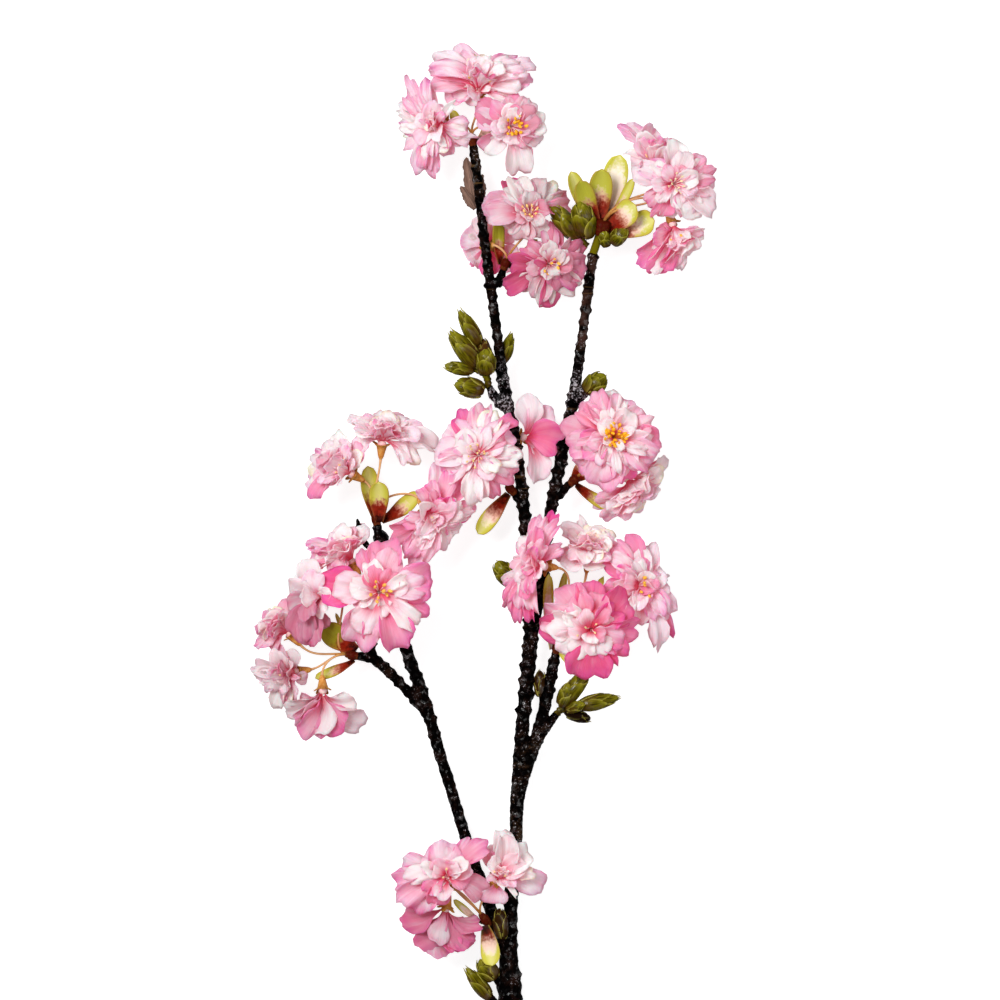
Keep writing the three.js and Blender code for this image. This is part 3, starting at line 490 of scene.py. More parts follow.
def barkFinish():
    f = Finish("bark")
    c = palette(barkColours)
    spot = f.place()
    coarse = f.grain(spot, 190.0, 5.0, 0.65)
    fine = f.grain(spot, 900.0, 4.0, 0.7)
    patches = f.grain(spot, 26.0, 2.0)
    tone = f.mix(f.ramp(coarse, 0.45, 0.75), c["black"], c["brown"])
    olive = f.sums("MULTIPLY", f.ramp(patches, 0.55, 0.68), f.ramp(coarse, 0.5, 0.64))
    tone = f.mix(f.sums("MULTIPLY", olive, 0.35), tone, c["olive"])
    across, up = f.node("SeparateXYZ", {0: spot}).outputs[:2]  # in metres
    # The right limb's last stretch is younger and paler.
    young = f.sums("MULTIPLY", f.ramp(across, 0.04, 0.05), f.ramp(up, 0.08, 0.1))
    young = f.sums("MULTIPLY", young, f.ramp(f.grain(spot, 120.0), 0.4, 0.6, (0.0, 0.6)))
    tone = f.mix(young, tone, c["young"])
    rings = f.grain(f.stretched(f.sums("MULTIPLY", across, 40.0), f.sums("MULTIPLY", up, 420.0)), 1.0, 2.0)
    rings = f.sums("MULTIPLY", f.ramp(rings, 0.6, 0.66, (0.0, 0.5)), f.ramp(patches, 0.5, 0.6))
    rings = f.sums("MULTIPLY", rings, f.ramp(up, -0.06, 0.0))
    tone = f.mix(rings, tone, c["ring"])
    # The wood has pale frosted flecks, more where the upper spurs leave it: partly its own grey specks,
    # partly painted glints.
    forks = f.sums("MULTIPLY", f.ramp(up, 0.062, 0.07), f.ramp(up, 0.094, 0.084))
    flecksAndGlints = f.sums("MULTIPLY", f.ramp(fine, 0.58, 0.64), f.ramp(coarse, 0.53, 0.6))
    flecksAndGlints = f.sums("MULTIPLY", flecksAndGlints, f.ramp(patches, 0.42, 0.56, (0.2, 0.9)))
    frostAndGlints = f.sums("MULTIPLY", f.ramp(fine, 0.5, 0.6), f.ramp(coarse, 0.46, 0.54, (0.0, 0.9)))
    tone = f.mix(f.sums("MAXIMUM", flecksAndGlints, f.sums("MULTIPLY", forks, frostAndGlints)), tone, c["dustAndGlint"])
    f.wear("Base Color", tone)
    f.wear("Roughness", f.ramp(coarse, 0.3, 0.8, (0.14, 0.4)))
    f.wear("Specular IOR Level", f.ramp(f.grain(spot, 330.0, 3.0), 0.56, 0.66, (0.01, 0.8)))
    relief = f.sums("ADD", f.sums("MULTIPLY", coarse, 1.0), f.sums("MULTIPLY", fine, 0.4))
    f.wear("Normal", f.bump(relief, 0.8, 0.9))
    return f.material


cutWoodColours = {"dark": "#a98a5e", "light": "#d9c195"}


def cutWoodFinish():
    f = Finish("cut wood", roughness=0.75)
    c = palette(cutWoodColours)
    grain = f.grain(f.place(), 700.0, 4.0)
    f.wear("Base Color", f.mix(grain, c["dark"], c["light"]))
    f.wear("Normal", f.bump(grain, 0.3, 0.6))
    return f.material


sheathColours = {"dark": "#4c3226", "light": "#95705e", "fleck": "#c9b3a4"}


def drySheathFinish():
    f = Finish("dry sheath", roughness=0.6)
    c = palette(sheathColours)
    sheet = f.sheet()
    acrossFibres, alongFibres = f.sums("MULTIPLY", sheet[0], 12.0), f.sums("MULTIPLY", sheet[1], 1.5)
    fibres = f.grain(f.stretched(acrossFibres, alongFibres, sheet[5]), 1.0)
    speckle = f.grain(f.place(), 500.0, 4.0)
    tone = f.mix(f.ramp(fibres, 0.3, 0.7), c["dark"], c["light"])
    f.wear("Base Color", f.mix(f.ramp(speckle, 0.6, 0.8, (0.0, 0.6)), tone, c["fleck"]))
    f.wear("Normal", f.bump(fibres, 0.5, 0.8))
    return f.material


petalLook, stamenLook = petalFinish(), stamenFinish()
stalkLook, bractLook, budLook = stalkFinish(), bractFinish(), budFinish()
barkLook, cutWoodLook, sheathLook = barkFinish(), cutWoodFinish(), drySheathFinish()
print("materials ready")


# Limbs share their joints: [px across, px down, height mm, radius mm], from the thick end to the thin one.
limbs = {
    "stem": [
        [514, 1032, 6.4, 6.1], [511, 1006, 6.6, 6.0], [509, 984, 7.0, 6.3], [509, 958, 7.4, 4.4],
        [511, 905, 8.4, 3.5], [515.5, 850, 9.6, 3.3], [517, 800, 10.8, 3.3], [521, 745, 12.4, 3.3],
        [527, 680, 14.4, 3.6], [531, 632, 15.8, 3.3], [530, 580, 17.0, 3.0], [526, 530, 17.8, 2.9],
        [519, 470, 18.8, 2.6], [511, 420, 19.4, 2.7], [504, 385, 19.8, 2.7], [498, 340, 20.0, 2.35],
        [491.5, 292, 20.2, 2.4], [485.5, 248, 20.4, 2.3], [480, 200, 20.6, 2.3], [473, 144, 21.0, 2.0],
    ],
    "right": [
        [531, 636, 15.6, 2.8], [541, 588, 17.4, 2.8], [547, 530, 18.8, 2.6], [556, 484, 19.8, 2.8],
        [569, 420, 20.8, 2.8], [574, 396, 21.0, 2.9], [581, 345, 21.2, 2.15], [587, 300, 21.4, 2.2],
        [593, 253, 21.8, 2.4],
    ],
    "lower": [
        [516, 812, 10.4, 2.9], [525, 772, 12.6, 3.2], [537, 738, 15.0, 3.3], [546, 700, 17.6, 2.8],
        [552, 672, 19.4, 2.6], [556, 652, 20.8, 2.2],
    ],
    "left": [
        [503, 944, 7.6, 3.6], [485, 895, 8.2, 3.2], [469, 850, 9.0, 2.9], [454, 800, 10.6, 2.8],
        [437, 745, 12.6, 2.9], [424, 698, 14.6, 2.9], [408, 655, 16.6, 2.9], [395, 610, 17.6, 2.6],
        [384, 566, 18.6, 2.3], [377, 524, 19.8, 1.9],
    ],
    "dryBud": [
        [386, 572, 18.8, 1.5], [368, 547, 19.4, 0.9], [364, 541, 19.6, 1.6], [360, 531, 19.8, 2.1],
        [357, 518, 20.0, 0.5],
    ],
    "dryBudBack": [
        [383, 549, 17.0, 2.2], [381, 541, 16.4, 3.6], [380, 534, 16.0, 3.3], [379, 530, 15.8, 1.6],
    ],
    "leftFork": [
        [428, 716, 13.8, 2.5], [408, 692, 15.2, 2.4], [388, 671, 16.8, 2.4], [371, 658, 18.2, 2.6],
        [357, 656, 19.2, 2.3],
    ],
    "spurL": [[372, 660, 18.0, 2.2], [371, 648, 19.6, 2.2], [372, 638, 21.4, 1.9]],
    "spurB": [[496, 286, 20.4, 2.2], [500, 279, 20.8, 2.1], [504, 268, 21.6, 1.7]],
    "spurD": [[509, 408, 19.6, 2.6], [498, 401, 21.4, 2.3], [492, 393, 22.8, 2.1], [489, 386, 23.8, 1.7]],
    "spurE": [[523, 504, 18.2, 2.1], [518, 498, 19.6, 2.1], [513, 492, 21.4, 1.6]],
    "spurF": [[556, 497, 19.6, 2.2], [563, 491, 20.8, 2.0], [571, 483, 22.4, 1.6]],
    "spurFBud": [[574, 400, 21.0, 2.6], [581, 396, 22.4, 2.3], [587, 391, 23.6, 1.9]],
    "spurG": [[532, 600, 16.6, 2.2], [523, 592, 18.2, 2.0], [514, 583, 19.8, 1.6]],
    "spurH": [[539, 738, 15.6, 2.4], [549, 724, 18.2, 2.2], [558, 712, 20.6, 1.8]],
    "spurHBack": [[545, 706, 17.0, 2.0], [541, 696, 16.6, 1.5]],
    "spurK": [[504, 944, 8.4, 2.6], [494, 932, 11.4, 2.4], [488, 924, 14.0, 2.0]],
    "spurKBud": [[508, 962, 8.0, 2.4], [502, 948, 11.6, 1.9], [501, 938, 13.2, 1.6]],
    "spurKMid": [[508, 990, 8.2, 2.4], [499, 984, 10.6, 1.9], [494, 978, 12.0, 1.6]],
    "spurKLow": [[510, 1018, 8.2, 2.8], [500, 1010, 10.2, 2.4], [490, 998, 11.8, 1.9]],
}
bark = {
    "step": 0.5, "sides": 16, "voxel": 0.7, "smoothing": 1,
    "knuckleGap": (3.0, 6.4), "plainGap": (7, 16), "knuckle": (0.24, 0.58), "knuckleWide": (0.6, 1.05),
    "knucklesAbovePx": (800, 650),  # lower on the stem the wood is plainer
    "lump": 0.06, "lumpTurn": 0.9,  # how much it swells, and how fast that winds along it
    "rough": 0.36, "roughScale": 420, "fine": 0.2, "fineScale": 1150,
    "cutDepth": 0.5, "cutFacing": 0.7,  # the cut end's faces: mm from it, and how squarely they face out
}


def inMm(stops):
    return np.array([[*place(x, y, z), radius] for x, y, z, radius in stops])


def limbSurface(shape, stops, seed):
    draw = np.random.RandomState(seed)
    path = smoothPath(inMm(stops), bark["step"])
    length = np.concatenate([[0], np.cumsum(np.linalg.norm(np.diff(path[:, :3], axis=0), axis=1))])
    angle = np.arange(bark["sides"]) / bark["sides"] * 2 * math.pi
    swell = np.ones((len(path), bark["sides"]))
    at = draw.uniform(1.5, 4)
    while at < length[-1] - 1:
        py = picture["middlePx"][1] - np.interp(at, length, path[:, 1]) / picture["mmPerPx"]
        busy = float(ease(*bark["knucklesAbovePx"], py))
        high = draw.uniform(*bark["knuckle"]) * (0.35 + 0.65 * busy)
        wide = draw.uniform(*bark["knuckleWide"])
        oneSided = 0.66 + 0.34 * np.cos(angle - draw.uniform(0, 2 * math.pi))
        ridge = np.exp(-((length - at) / wide) ** 2)
        ridge = ridge + 0.35 * np.exp(-((length - at + 1.3) / (wide * 1.6)) ** 2)
        swell += high * ridge[:, None] * oneSided
        gaps = [bark["plainGap"][k] + (bark["knuckleGap"][k] - bark["plainGap"][k]) * busy for k in (0, 1)]
        at += draw.uniform(*gaps)
    swell += bark["lump"] * np.sin(length[:, None] * bark["lumpTurn"] + 2 * angle + draw.uniform(0, 6))
    shape.addTube(path[:, :3], path[:, 3][:, None] * swell, (0, 0, 0, 0), bark["sides"])


def remeshed(piece):
    skin = piece.modifiers.new("one skin", "REMESH")
    skin.mode = "VOXEL"
    skin.voxel_size = bark["voxel"] * mm
    soften = piece.modifiers.new("soften", "SMOOTH")
    soften.factor, soften.iterations = 0.5, bark["smoothing"]
    bpy.context.view_layer.update()
    done = bpy.data.meshes.new_from_object(piece.evaluated_get(bpy.context.evaluated_depsgraph_get()))
    bpy.data.objects.remove(piece)
    return done


def roughen(mesh):
    count = len(mesh.vertices)
    co = np.empty(count * 3)
    normal = np.empty(count * 3)
    mesh.vertices.foreach_get("co", co)
    mesh.vertex_normals.foreach_get("vector", normal)
    co, normal = co.reshape(-1, 3), normal.reshape(-1, 3)
    push = np.array([
        bark["rough"] * noise.noise(Vector(p) * bark["roughScale"])
        + bark["fine"] * noise.noise(Vector(p) * bark["fineScale"]) for p in co
    ])
    co += normal * push[:, None] * mm
    mesh.vertices.foreach_set("co", co.ravel())
    mesh.update()


def markCutEnd(mesh):
    end, inner = (place(*limbs["stem"][k][:3]) * mm for k in (0, 1))
    along = unit(inner - end)
    for face in mesh.polygons:
        near = np.dot(np.array(face.center) - end, along) < bark["cutDepth"] * mm
        if near and np.dot(face.normal, along) < -bark["cutFacing"]:
            face.material_index = 1


def makeWood():
    shape = Shape()
    for seed, stops in enumerate(limbs.values()):
        limbSurface(shape, stops, seed + 11)
    mesh = remeshed(shape.make("wood draft", [], ()))
    mesh.name = "wood"
    roughen(mesh)
    markCutEnd(mesh)
    addPiece("wood", mesh, [barkLook, cutWoodLook], ["branch"])
    return len(mesh.polygons)


print("wood:", makeWood(), "faces")


def woodSegments():
    starts, ends = [], []
    for stops in limbs.values():
        path = smoothPath(inMm(stops), 6)
        starts.append(path[:-1])
        ends.append(path[1:])
    return np.vstack(starts), np.vstack(ends)


woodFrom, woodTo = woodSegments()


def clearOfWood(points, room):
    # Pushes points out of the limbs, so that a petal lies against the wood and doesn't pass through it.
    shape = points.shape
    points = points.reshape(-1, 3).copy()
    low, high = points.min(0) - 8, points.max(0) + 8
    for a, b in zip(woodFrom, woodTo):
        if np.any(np.maximum(a[:3], b[:3]) < low) or np.any(np.minimum(a[:3], b[:3]) > high):
            continue
        line = b[:3] - a[:3]
        t = np.clip((points - a[:3]) @ line / (line @ line), 0, 1)
        away = points - (a[:3] + t[:, None] * line)
        far = np.linalg.norm(away, axis=1)
        need = a[3] + (b[3] - a[3]) * t + room
        inside = (far < need) & (far > 1e-6)
        points[inside] += away[inside] / far[inside, None] * (need - far)[inside, None]
    return points.reshape(shape)


def offTheFloor(points, start=1.2, least=0.2):
    # What would reach the floor flattens just above it.
    z = points[..., 2]
    room = start - least
    points[..., 2] = np.where(z < start, least + room * np.exp(np.minimum(z - start, 0) / room), z)
    return points


# Each cluster: the limb that ends in it, and how many mm its common stalk stands on.
clusters = {
    "a": ("stem", 5), "b": ("spurB", 5), "c": ("right", 8), "e": ("spurE", 5), "f": ("spurF", 5),
    "g": ("lower", 9), "i": ("left", 6), "j": ("leftFork", 6), "l": ("spurL", 5), "k": ("spurK", 7),
}
greenShoots = {"c": [(593, 254, 21.8), (599, 236, 25)]}  # from the end of the wood to the foot of the cluster
# Each bloom: where its petals meet in px, its height in mm, the way it faces (right, up the picture, off the
# floor), its turn in degrees, its petal length in mm, and how far it has opened, where 1 is flat.
blooms = {
    "f1": {"at": (612, 438), "z": 30, "faces": (0.15, 0.1, 0.98), "turn": 54, "petal": 26, "open": 1},
    "l1": {"at": (379, 592), "z": 31, "faces": (0.05, 0.05, 1), "turn": 12, "petal": 27.5, "open": 0.97},
    "g4": {"at": (590, 625), "z": 34, "faces": (0, -0.35, 0.93), "turn": 50, "petal": 25.5, "open": 0.95},
    "e1": {"at": (480, 456), "z": 29, "faces": (-0.25, 0.1, 0.95), "turn": 30, "petal": 25, "open": 0.97},
    "k1": {"at": (450, 880), "z": 28.8, "faces": (-0.35, 0.55, 0.75), "turn": 0, "petal": 25, "open": 0.95},
    "b2": {"at": (546, 262), "z": 27, "faces": (0.4, -0.35, 0.85), "turn": 24, "petal": 22, "open": 0.95},
    "b1": {"at": (530, 218), "z": 24, "faces": (0.0, 0.5, 0.86), "turn": 36, "petal": 18, "open": 0.92},
    "c2": {"at": (671, 186), "z": 30, "faces": (0.35, 0.15, 0.92), "turn": 12, "petal": 22, "open": 0.92},
    "a3": {"at": (508, 126), "z": 26, "faces": (0.45, -0.1, 0.88), "turn": 8, "petal": 21, "open": 0.9},
    "a2": {"at": (444, 124), "z": 22, "faces": (-0.7, -0.1, 0.7), "turn": 24, "petal": 24, "open": 0.97},
    "a1": {"at": (478, 94), "z": 16.8, "faces": (0.05, 0.85, 0.45), "turn": 64, "petal": 26, "open": 0.8},
    "g3": {"at": (633, 586), "z": 24, "faces": (0.75, 0.05, 0.6), "turn": 10, "petal": 26, "open": 0.92},
    "g2": {"at": (588, 558), "z": 24, "faces": (0.1, 0.92, 0.25), "turn": 20, "petal": 21, "open": 0.7},
    "g1": {"at": (545, 566), "z": 35, "faces": (-0.8, 0.1, 0.6), "turn": 5, "petal": 25, "open": 1.02},
    "i3": {"at": (426, 508), "z": 24, "faces": (0.5, -0.62, 0.6), "turn": 48, "petal": 24, "open": 0.95},
    "i1": {"at": (352, 474), "z": 22, "faces": (-0.78, 0.45, 0.42), "turn": 28, "petal": 22, "open": 0.72},
    "i2": {"at": (382, 444), "z": 23.6, "faces": (0.08, 0.95, 0.25), "turn": 30, "petal": 22, "open": 0.62},
    "k3": {"at": (496, 880), "z": 22, "faces": (0.4, 0.6, 0.6), "turn": 66, "petal": 20, "open": 0.75},
    "k2": {"at": (446, 908), "z": 21.1, "faces": (-0.2, -0.9, -0.25), "turn": 0, "petal": 23, "open": 0.62},
    "j3": {"at": (324, 596), "z": 25.2, "faces": (-0.75, -0.1, 0.55), "turn": 24, "petal": 22, "open": 0.85},
    "l2": {"at": (352, 562), "z": 20, "faces": (-0.45, 0.75, 0.2), "turn": 44, "petal": 22, "open": 0.76},
    "j6": {"at": (323, 690), "z": 24.6, "faces": (0.05, -0.92, 0.3), "turn": 60, "petal": 22, "open": 0.58},
    "j5": {"at": (297, 672), "z": 20, "faces": (-0.85, -0.15, 0.4), "turn": 64, "petal": 21, "open": 0.72},
    "j4": {"at": (290, 634), "z": 18.5, "faces": (-0.6, 0.65, 0.1), "turn": 28, "petal": 20, "open": 0.72},
    "c3": {"at": (672, 224), "z": 22, "faces": (0.3, -0.85, 0.3), "turn": 16, "petal": 22, "open": 0.68},
    "c1": {"at": (657, 171), "z": 17.1, "faces": (-0.2, 0.9, 0.1), "turn": 20, "petal": 23, "open": 0.62},
    "f2": {"at": (626, 478), "z": 20, "faces": (0.6, -0.7, 0.1), "turn": 6, "petal": 22, "open": 0.72},
    "m1": {"at": (523, 437), "z": 15.4, "faces": (0.75, 0.05, 0.5), "turn": 64, "petal": 20, "open": 0.72},
    "b3": {"at": (488, 246), "z": 13.6, "faces": (-0.35, -0.05, -0.9), "turn": 26, "petal": 19, "open": 0.85},
}
cup = {  # under each bloom, with its sepals
    "profile": [(-7.9, 0.7), (-7.3, 1.15), (-6.2, 1.55), (-4.8, 1.85), (-3.4, 2.15), (-2.0, 2.5), (-0.8, 2.8),
                (-0.2, 2.6)],  # along the bloom's axis, and radius
    "sides": 15, "foot": 7.4,  # where its stalk ends, below the petals
    "sepals": 5, "sepalLength": 3.4, "sepalHalf": 1.35, "sepalThick": 0.4, "sepalDrop": 1.3, "sepalOut": 2.0,
}


def bloomFrame(name):
    bloom = blooms[name]
    axis = unit(bloom["faces"])
    side = unit(np.cross([0, 1, 0], axis))
    return place(*bloom["at"], bloom["z"]), side, np.cross(axis, side), axis


def clusterAxis(name):
    a, b = (place(*stop[:3]) for stop in greenShoots.get(name, limbs[clusters[name][0]][-2:]))
    return b, unit(b - a)


def bezier(a, b, c, d, count):
    t = np.linspace(0, 1, count)[:, None]
    return a * (1 - t) ** 3 + 3 * b * t * (1 - t) ** 2 + 3 * c * t * t * (1 - t) + d * t ** 3


def leafGrid(foot, along, across, face, length, half, rows, cols, bow, fold, widest, blunt, curl=0.0,
             narrow=0.28):
    # The middle surface of a leaf, which bows away from face, folds up about its rib and curls at its tip.
    # widest: where along it, from 0 to 1. blunt: how round its tip is. narrow: how narrow its foot is.
    t = np.linspace(0, 1, rows)[:, None]
    u = np.linspace(-1, 1, cols)[None, :]
    rise = ease(-0.25, widest, t) * (1 - narrow) + narrow
    fall = np.sqrt(np.clip(1 - np.clip((t - widest) / (1 - widest), 0, 1) ** (2 / blunt), 0, 1))
    wide = half * rise * fall + 0.04
    lift = fold * wide * u * u - bow * length * 4 * t * (1 - t) + curl * length * t ** 4
    return (foot + along * (t * length)[..., None] + across * (u * wide)[..., None] + face * lift[..., None],
            np.stack(np.broadcast_arrays(u, t), axis=2))


def addCup(shape, name, seed):
    seat, side, up, axis = bloomFrame(name)
    heights, radii = np.array(cup["profile"]).T
    sides = cup["sides"]
    lobes = 1 + 0.05 * np.cos(np.arange(sides) / sides * 2 * math.pi * cup["sepals"])
    redden = ease(-4.5, -0.5, heights) * 0.35
    look = np.stack([redden, 0 * redden, 0 * redden, 0 * redden], axis=1)
    shape.addTube(seat + heights[:, None] * axis, radii[:, None] * lobes, look, sides)
    spread = math.radians(min(76, 84 * blooms[name]["open"]))
    for k in range(cup["sepals"]):
        azimuth = math.radians(blooms[name]["turn"] + 36 + k * 72 + 14 * (chance(seed, k, 3) - 0.5))
        out = side * math.cos(azimuth) + up * math.sin(azimuth)
        along = unit(out * math.sin(spread) + axis * math.cos(spread))
        across = unit(np.cross(along, axis))
        face = np.cross(across, along)
        length = cup["sepalLength"] * (0.85 + 0.3 * chance(seed, k, 5))
        foot = seat - axis * cup["sepalDrop"] + out * cup["sepalOut"]
        grid, uv = leafGrid(foot, along, across, face, length, cup["sepalHalf"], 9, 7, bow=0.07, fold=0.35,
                            widest=0.35, blunt=1.5, curl=-0.12)
        look = (0.12, 0.1 + 0.3 * chance(seed, k, 6), 0, chance(seed, k, 7))
        shape.addSheet(grid, uv, look, cup["sepalThick"])


pedicel = {"radius": 0.62, "sides": 8, "points": 22, "reach": 0.4}  # the thin stalk up to a bloom's cup


def addPedicel(shape, start, leave, name):
    seat, _, _, axis = bloomFrame(name)
    end = seat - axis * cup["foot"]
    reach = np.linalg.norm(end - start) * pedicel["reach"]
    path = bezier(start, start + leave * reach, end - axis * reach, end, pedicel["points"])
    t = np.linspace(0, 1, pedicel["points"])
    radii = pedicel["radius"] * (1.15 - 0.25 * ease(0, 0.3, t) + 0.35 * ease(0.85, 1, t))
    look = np.stack([0.6 * ease(0.35, 0, t) + 0.04, 0.05 * t, 0.6 * ease(0.1, 0.5, t), 0 * t], axis=1)
    shape.addTube(path, radii, look, pedicel["sides"])


peduncle = {  # the common stalk of a cluster
    "footRadius": 2.0, "lowRadius": 2.15, "neckRadius": 1.8, "topRadius": 1.3,
    "sunk": 1, "low": 1.5, "neck": 1.2,  # mm from its foot, the last one from its top
    "greenRadius": 2.1, "greenEnds": (-1.5, 1), "sides": 12, "step": 0.8,
}


def makeStalks(name):
    shape = Shape()
    base, along = clusterAxis(name)
    top = base + along * clusters[name][1]
    neck = top - along * peduncle["neck"]
    path = smoothPath([
        [*(base - along * peduncle["sunk"]), peduncle["footRadius"]],
        [*(base + along * peduncle["low"]), peduncle["lowRadius"]],
        [*neck, peduncle["neckRadius"]], [*top, peduncle["topRadius"]],
    ], peduncle["step"])
    shape.addTube(path[:, :3], path[:, 3], (0.95, 0, 0, 0), peduncle["sides"])
    if name in greenShoots:
        ends = zip(greenShoots[name], peduncle["greenEnds"])
        ends = [[*(place(*stop) + lift * along), peduncle["greenRadius"]] for stop, lift in ends]
        path = smoothPath(ends, peduncle["step"])
        shape.addTube(path[:, :3], path[:, 3], (0, 1, 0, 0), peduncle["sides"])
    for seed, bloom in enumerate(blooms):
        if bloom[0] == name:
            addCup(shape, bloom, seed)
            addPedicel(shape, neck, along, bloom)
    shape.make("pedicels_" + name, [stalkLook], ["stalks_" + name])


for cluster in clusters:
    makeStalks(cluster)

hiddenStalk = {  # of the bloom behind the stem: its stops as a limb's, then a bend up to the bloom's cup
    "stops": [[521, 500, 17.0, 1.5], [520, 486, 13.6, 0.9], [513, 464, 11.0, 0.8], [506, 450, 10.4, 0.8]],
    "leave": 3, "arrive": 11, "bendPoints": 8, "endRadius": 0.75, "sides": 8,
}


def makeHiddenStalk():
    shape = Shape()
    path = smoothPath(inMm(hiddenStalk["stops"]), 1)
    seat, _, _, axis = bloomFrame("m1")
    addCup(shape, "m1", 40)
    last, before = path[-1, :3], path[-4, :3]
    leave = last + unit(last - before) * hiddenStalk["leave"]
    count = hiddenStalk["bendPoints"]
    bend = bezier(last, leave, seat - axis * hiddenStalk["arrive"], seat - axis * cup["foot"], count + 1)[1:]
    radii = np.concatenate([path[:, 3], np.full(count, hiddenStalk["endRadius"])])
    shape.addTube(np.vstack([path[:, :3], bend]), radii, (0.35, 0.2, 0, 0), hiddenStalk["sides"])
    shape.make("pedicel_m", [stalkLook], ())


makeHiddenStalk()
print("stalks made")


# The young leaves of each cluster. tip: px and mm, half: half width mm, looks: the way the upper face looks,
# green: where green starts along it, red: how red its foot is, olive: 1 is dark, widest: where along it.
bracts = {
    "a": [
        {"tip": (452, 110, 20), "half": 2.6, "looks": (0.3, 0.3, 1), "green": 0.35, "red": 0.5, "olive": 0.1},
        {"tip": (499, 108, 19), "half": 2.8, "looks": (-0.2, 0.3, 1), "green": 0.6, "red": 0.4, "olive": 0.1},
    ],
    "b": [
        {"tip": (499, 218, 19), "half": 3.0, "looks": (0.3, 0, 1), "green": 0.5, "red": 0.9, "olive": 0.7},
        {"tip": (537, 239, 20), "half": 2.6, "looks": (-0.4, 0.6, 1), "green": 0.45, "red": 0.7,
         "olive": 0.35},
    ],
    "c": [
        {"tip": (571, 172, 27), "half": 3.8, "looks": (0.3, 0, 1), "green": 0.56, "red": 1.0, "olive": 0.0},
        {"tip": (602, 170, 30), "half": 5.4, "looks": (0, -0.1, 1), "green": 0.58, "red": 1.0, "olive": 0.35},
        {"tip": (620, 155, 24), "half": 6.0, "looks": (-0.2, 0, 1), "green": 0.84, "red": 0.4, "olive": 0.0},
        {"tip": (633, 179, 27), "half": 2.4, "looks": (-0.3, 0.1, 1), "green": 0.6, "red": 1.0, "olive": 0.1},
        {"tip": (635, 206, 33), "half": 6.0, "looks": (-0.2, 0.3, 1), "green": 0.74, "red": 1.0, "olive": 0.0,
         "widest": 0.76},
        {"tip": (654, 221, 30), "half": 6.2, "looks": (0, 0.3, 1), "green": 0.74, "red": 1.0, "olive": 0.0,
         "widest": 0.76},
        {"tip": (580, 182, 33), "half": 4.6, "looks": (0.3, -0.5, 1), "green": 0.5, "red": 1.0,
         "olive": 0.45},
    ],
    "e": [
        {"tip": (478, 534, 20), "half": 4.0, "looks": (0.3, 0.3, 1), "green": 0.72, "red": 0.9, "olive": 0.0},
    ],
    "f": [
        {"tip": (611, 508, 17), "half": 3.0, "looks": (0, 0.4, 1), "green": 0.5, "red": 1.0, "olive": 0.0},
        {"tip": (590, 463, 18), "half": 4.4, "looks": (-0.3, 0, 1), "green": 1.1, "red": 1.0, "olive": 0.0},
    ],
    "g": [
        {"tip": (549, 574, 27), "half": 2.5, "looks": (0.2, 0.1, 1), "green": 0.72, "red": 0.3, "olive": 0.0},
        {"tip": (566, 571, 19), "half": 1.9, "looks": (0.2, 0.1, 1), "green": 0.5, "red": 0.2, "olive": 0.1},
        {"tip": (603, 576, 19), "half": 2.4, "looks": (-0.3, 0.3, 1), "green": 0.3, "red": 0.4, "olive": 0.3},
        {"tip": (569, 660, 27), "half": 2.2, "looks": (-0.6, 0.2, 1), "green": 0.1, "red": 0.2, "olive": 0.0},
    ],
    "i": [
        {"tip": (368, 466, 18), "half": 4.4, "looks": (0.4, 0, 1), "green": 0.4, "red": 0.9, "olive": 0.05},
        {"tip": (379, 482, 28), "half": 4.6, "looks": (0, -0.4, 1), "green": 0.5, "red": 1.0, "olive": 0.1},
        {"tip": (419, 493, 19), "half": 4.2, "looks": (-0.2, 0.5, 1), "green": 0.6, "red": 1.0, "olive": 0.1},
    ],
    "j": [
        {"tip": (323, 627, 23), "half": 5.6, "looks": (0.1, 0.1, 1), "green": 0.4, "red": 1.0, "olive": 0.7},
        {"tip": (315, 678, 18), "half": 2.5, "looks": (0.2, 0.5, 1), "green": 0.6, "red": 1.0, "olive": 0.2},
        {"tip": (336, 613, 19), "half": 1.2, "looks": (0.3, 0.5, 1), "green": 0.3, "red": 0.8, "olive": 0.1},
    ],
    "k": [
        {"tip": (492, 966, 19), "half": 4.6, "looks": (-0.3, 0, 1), "green": 0.68, "red": 0.55, "olive": 0.0},
        {"tip": (454, 900, 19), "half": 1.7, "looks": (0.1, 0.3, 1), "green": 0.75, "red": 0.5, "olive": 0.0},
    ],
}
bractForm = {
    "thick": 0.55, "rows": 19, "cols": 11, "fuller": 1.08,  # fuller: times the half width that shows
    "bow": 0.12, "fold": 0.32, "curl": -0.02, "widest": 0.64, "blunt": 0.85,
    "narrow": 0.24, "narrowOnShoot": 0.42,
    "collar": [(0.4, 1.9), (0.8, 2.15), (1.8, 2.35), (3.2, 2.35), (4.3, 2.1), (4.7, 1.4)],
    "collarSides": 18, "collarOnShoot": 1.8,  # a green shoot has a larger collar, by this much
    "foot": 0.9, "footOnShoot": 3.4, "footOut": 2.5,  # where a leaf leaves the collar, mm
    "offWood": 0.5,
}


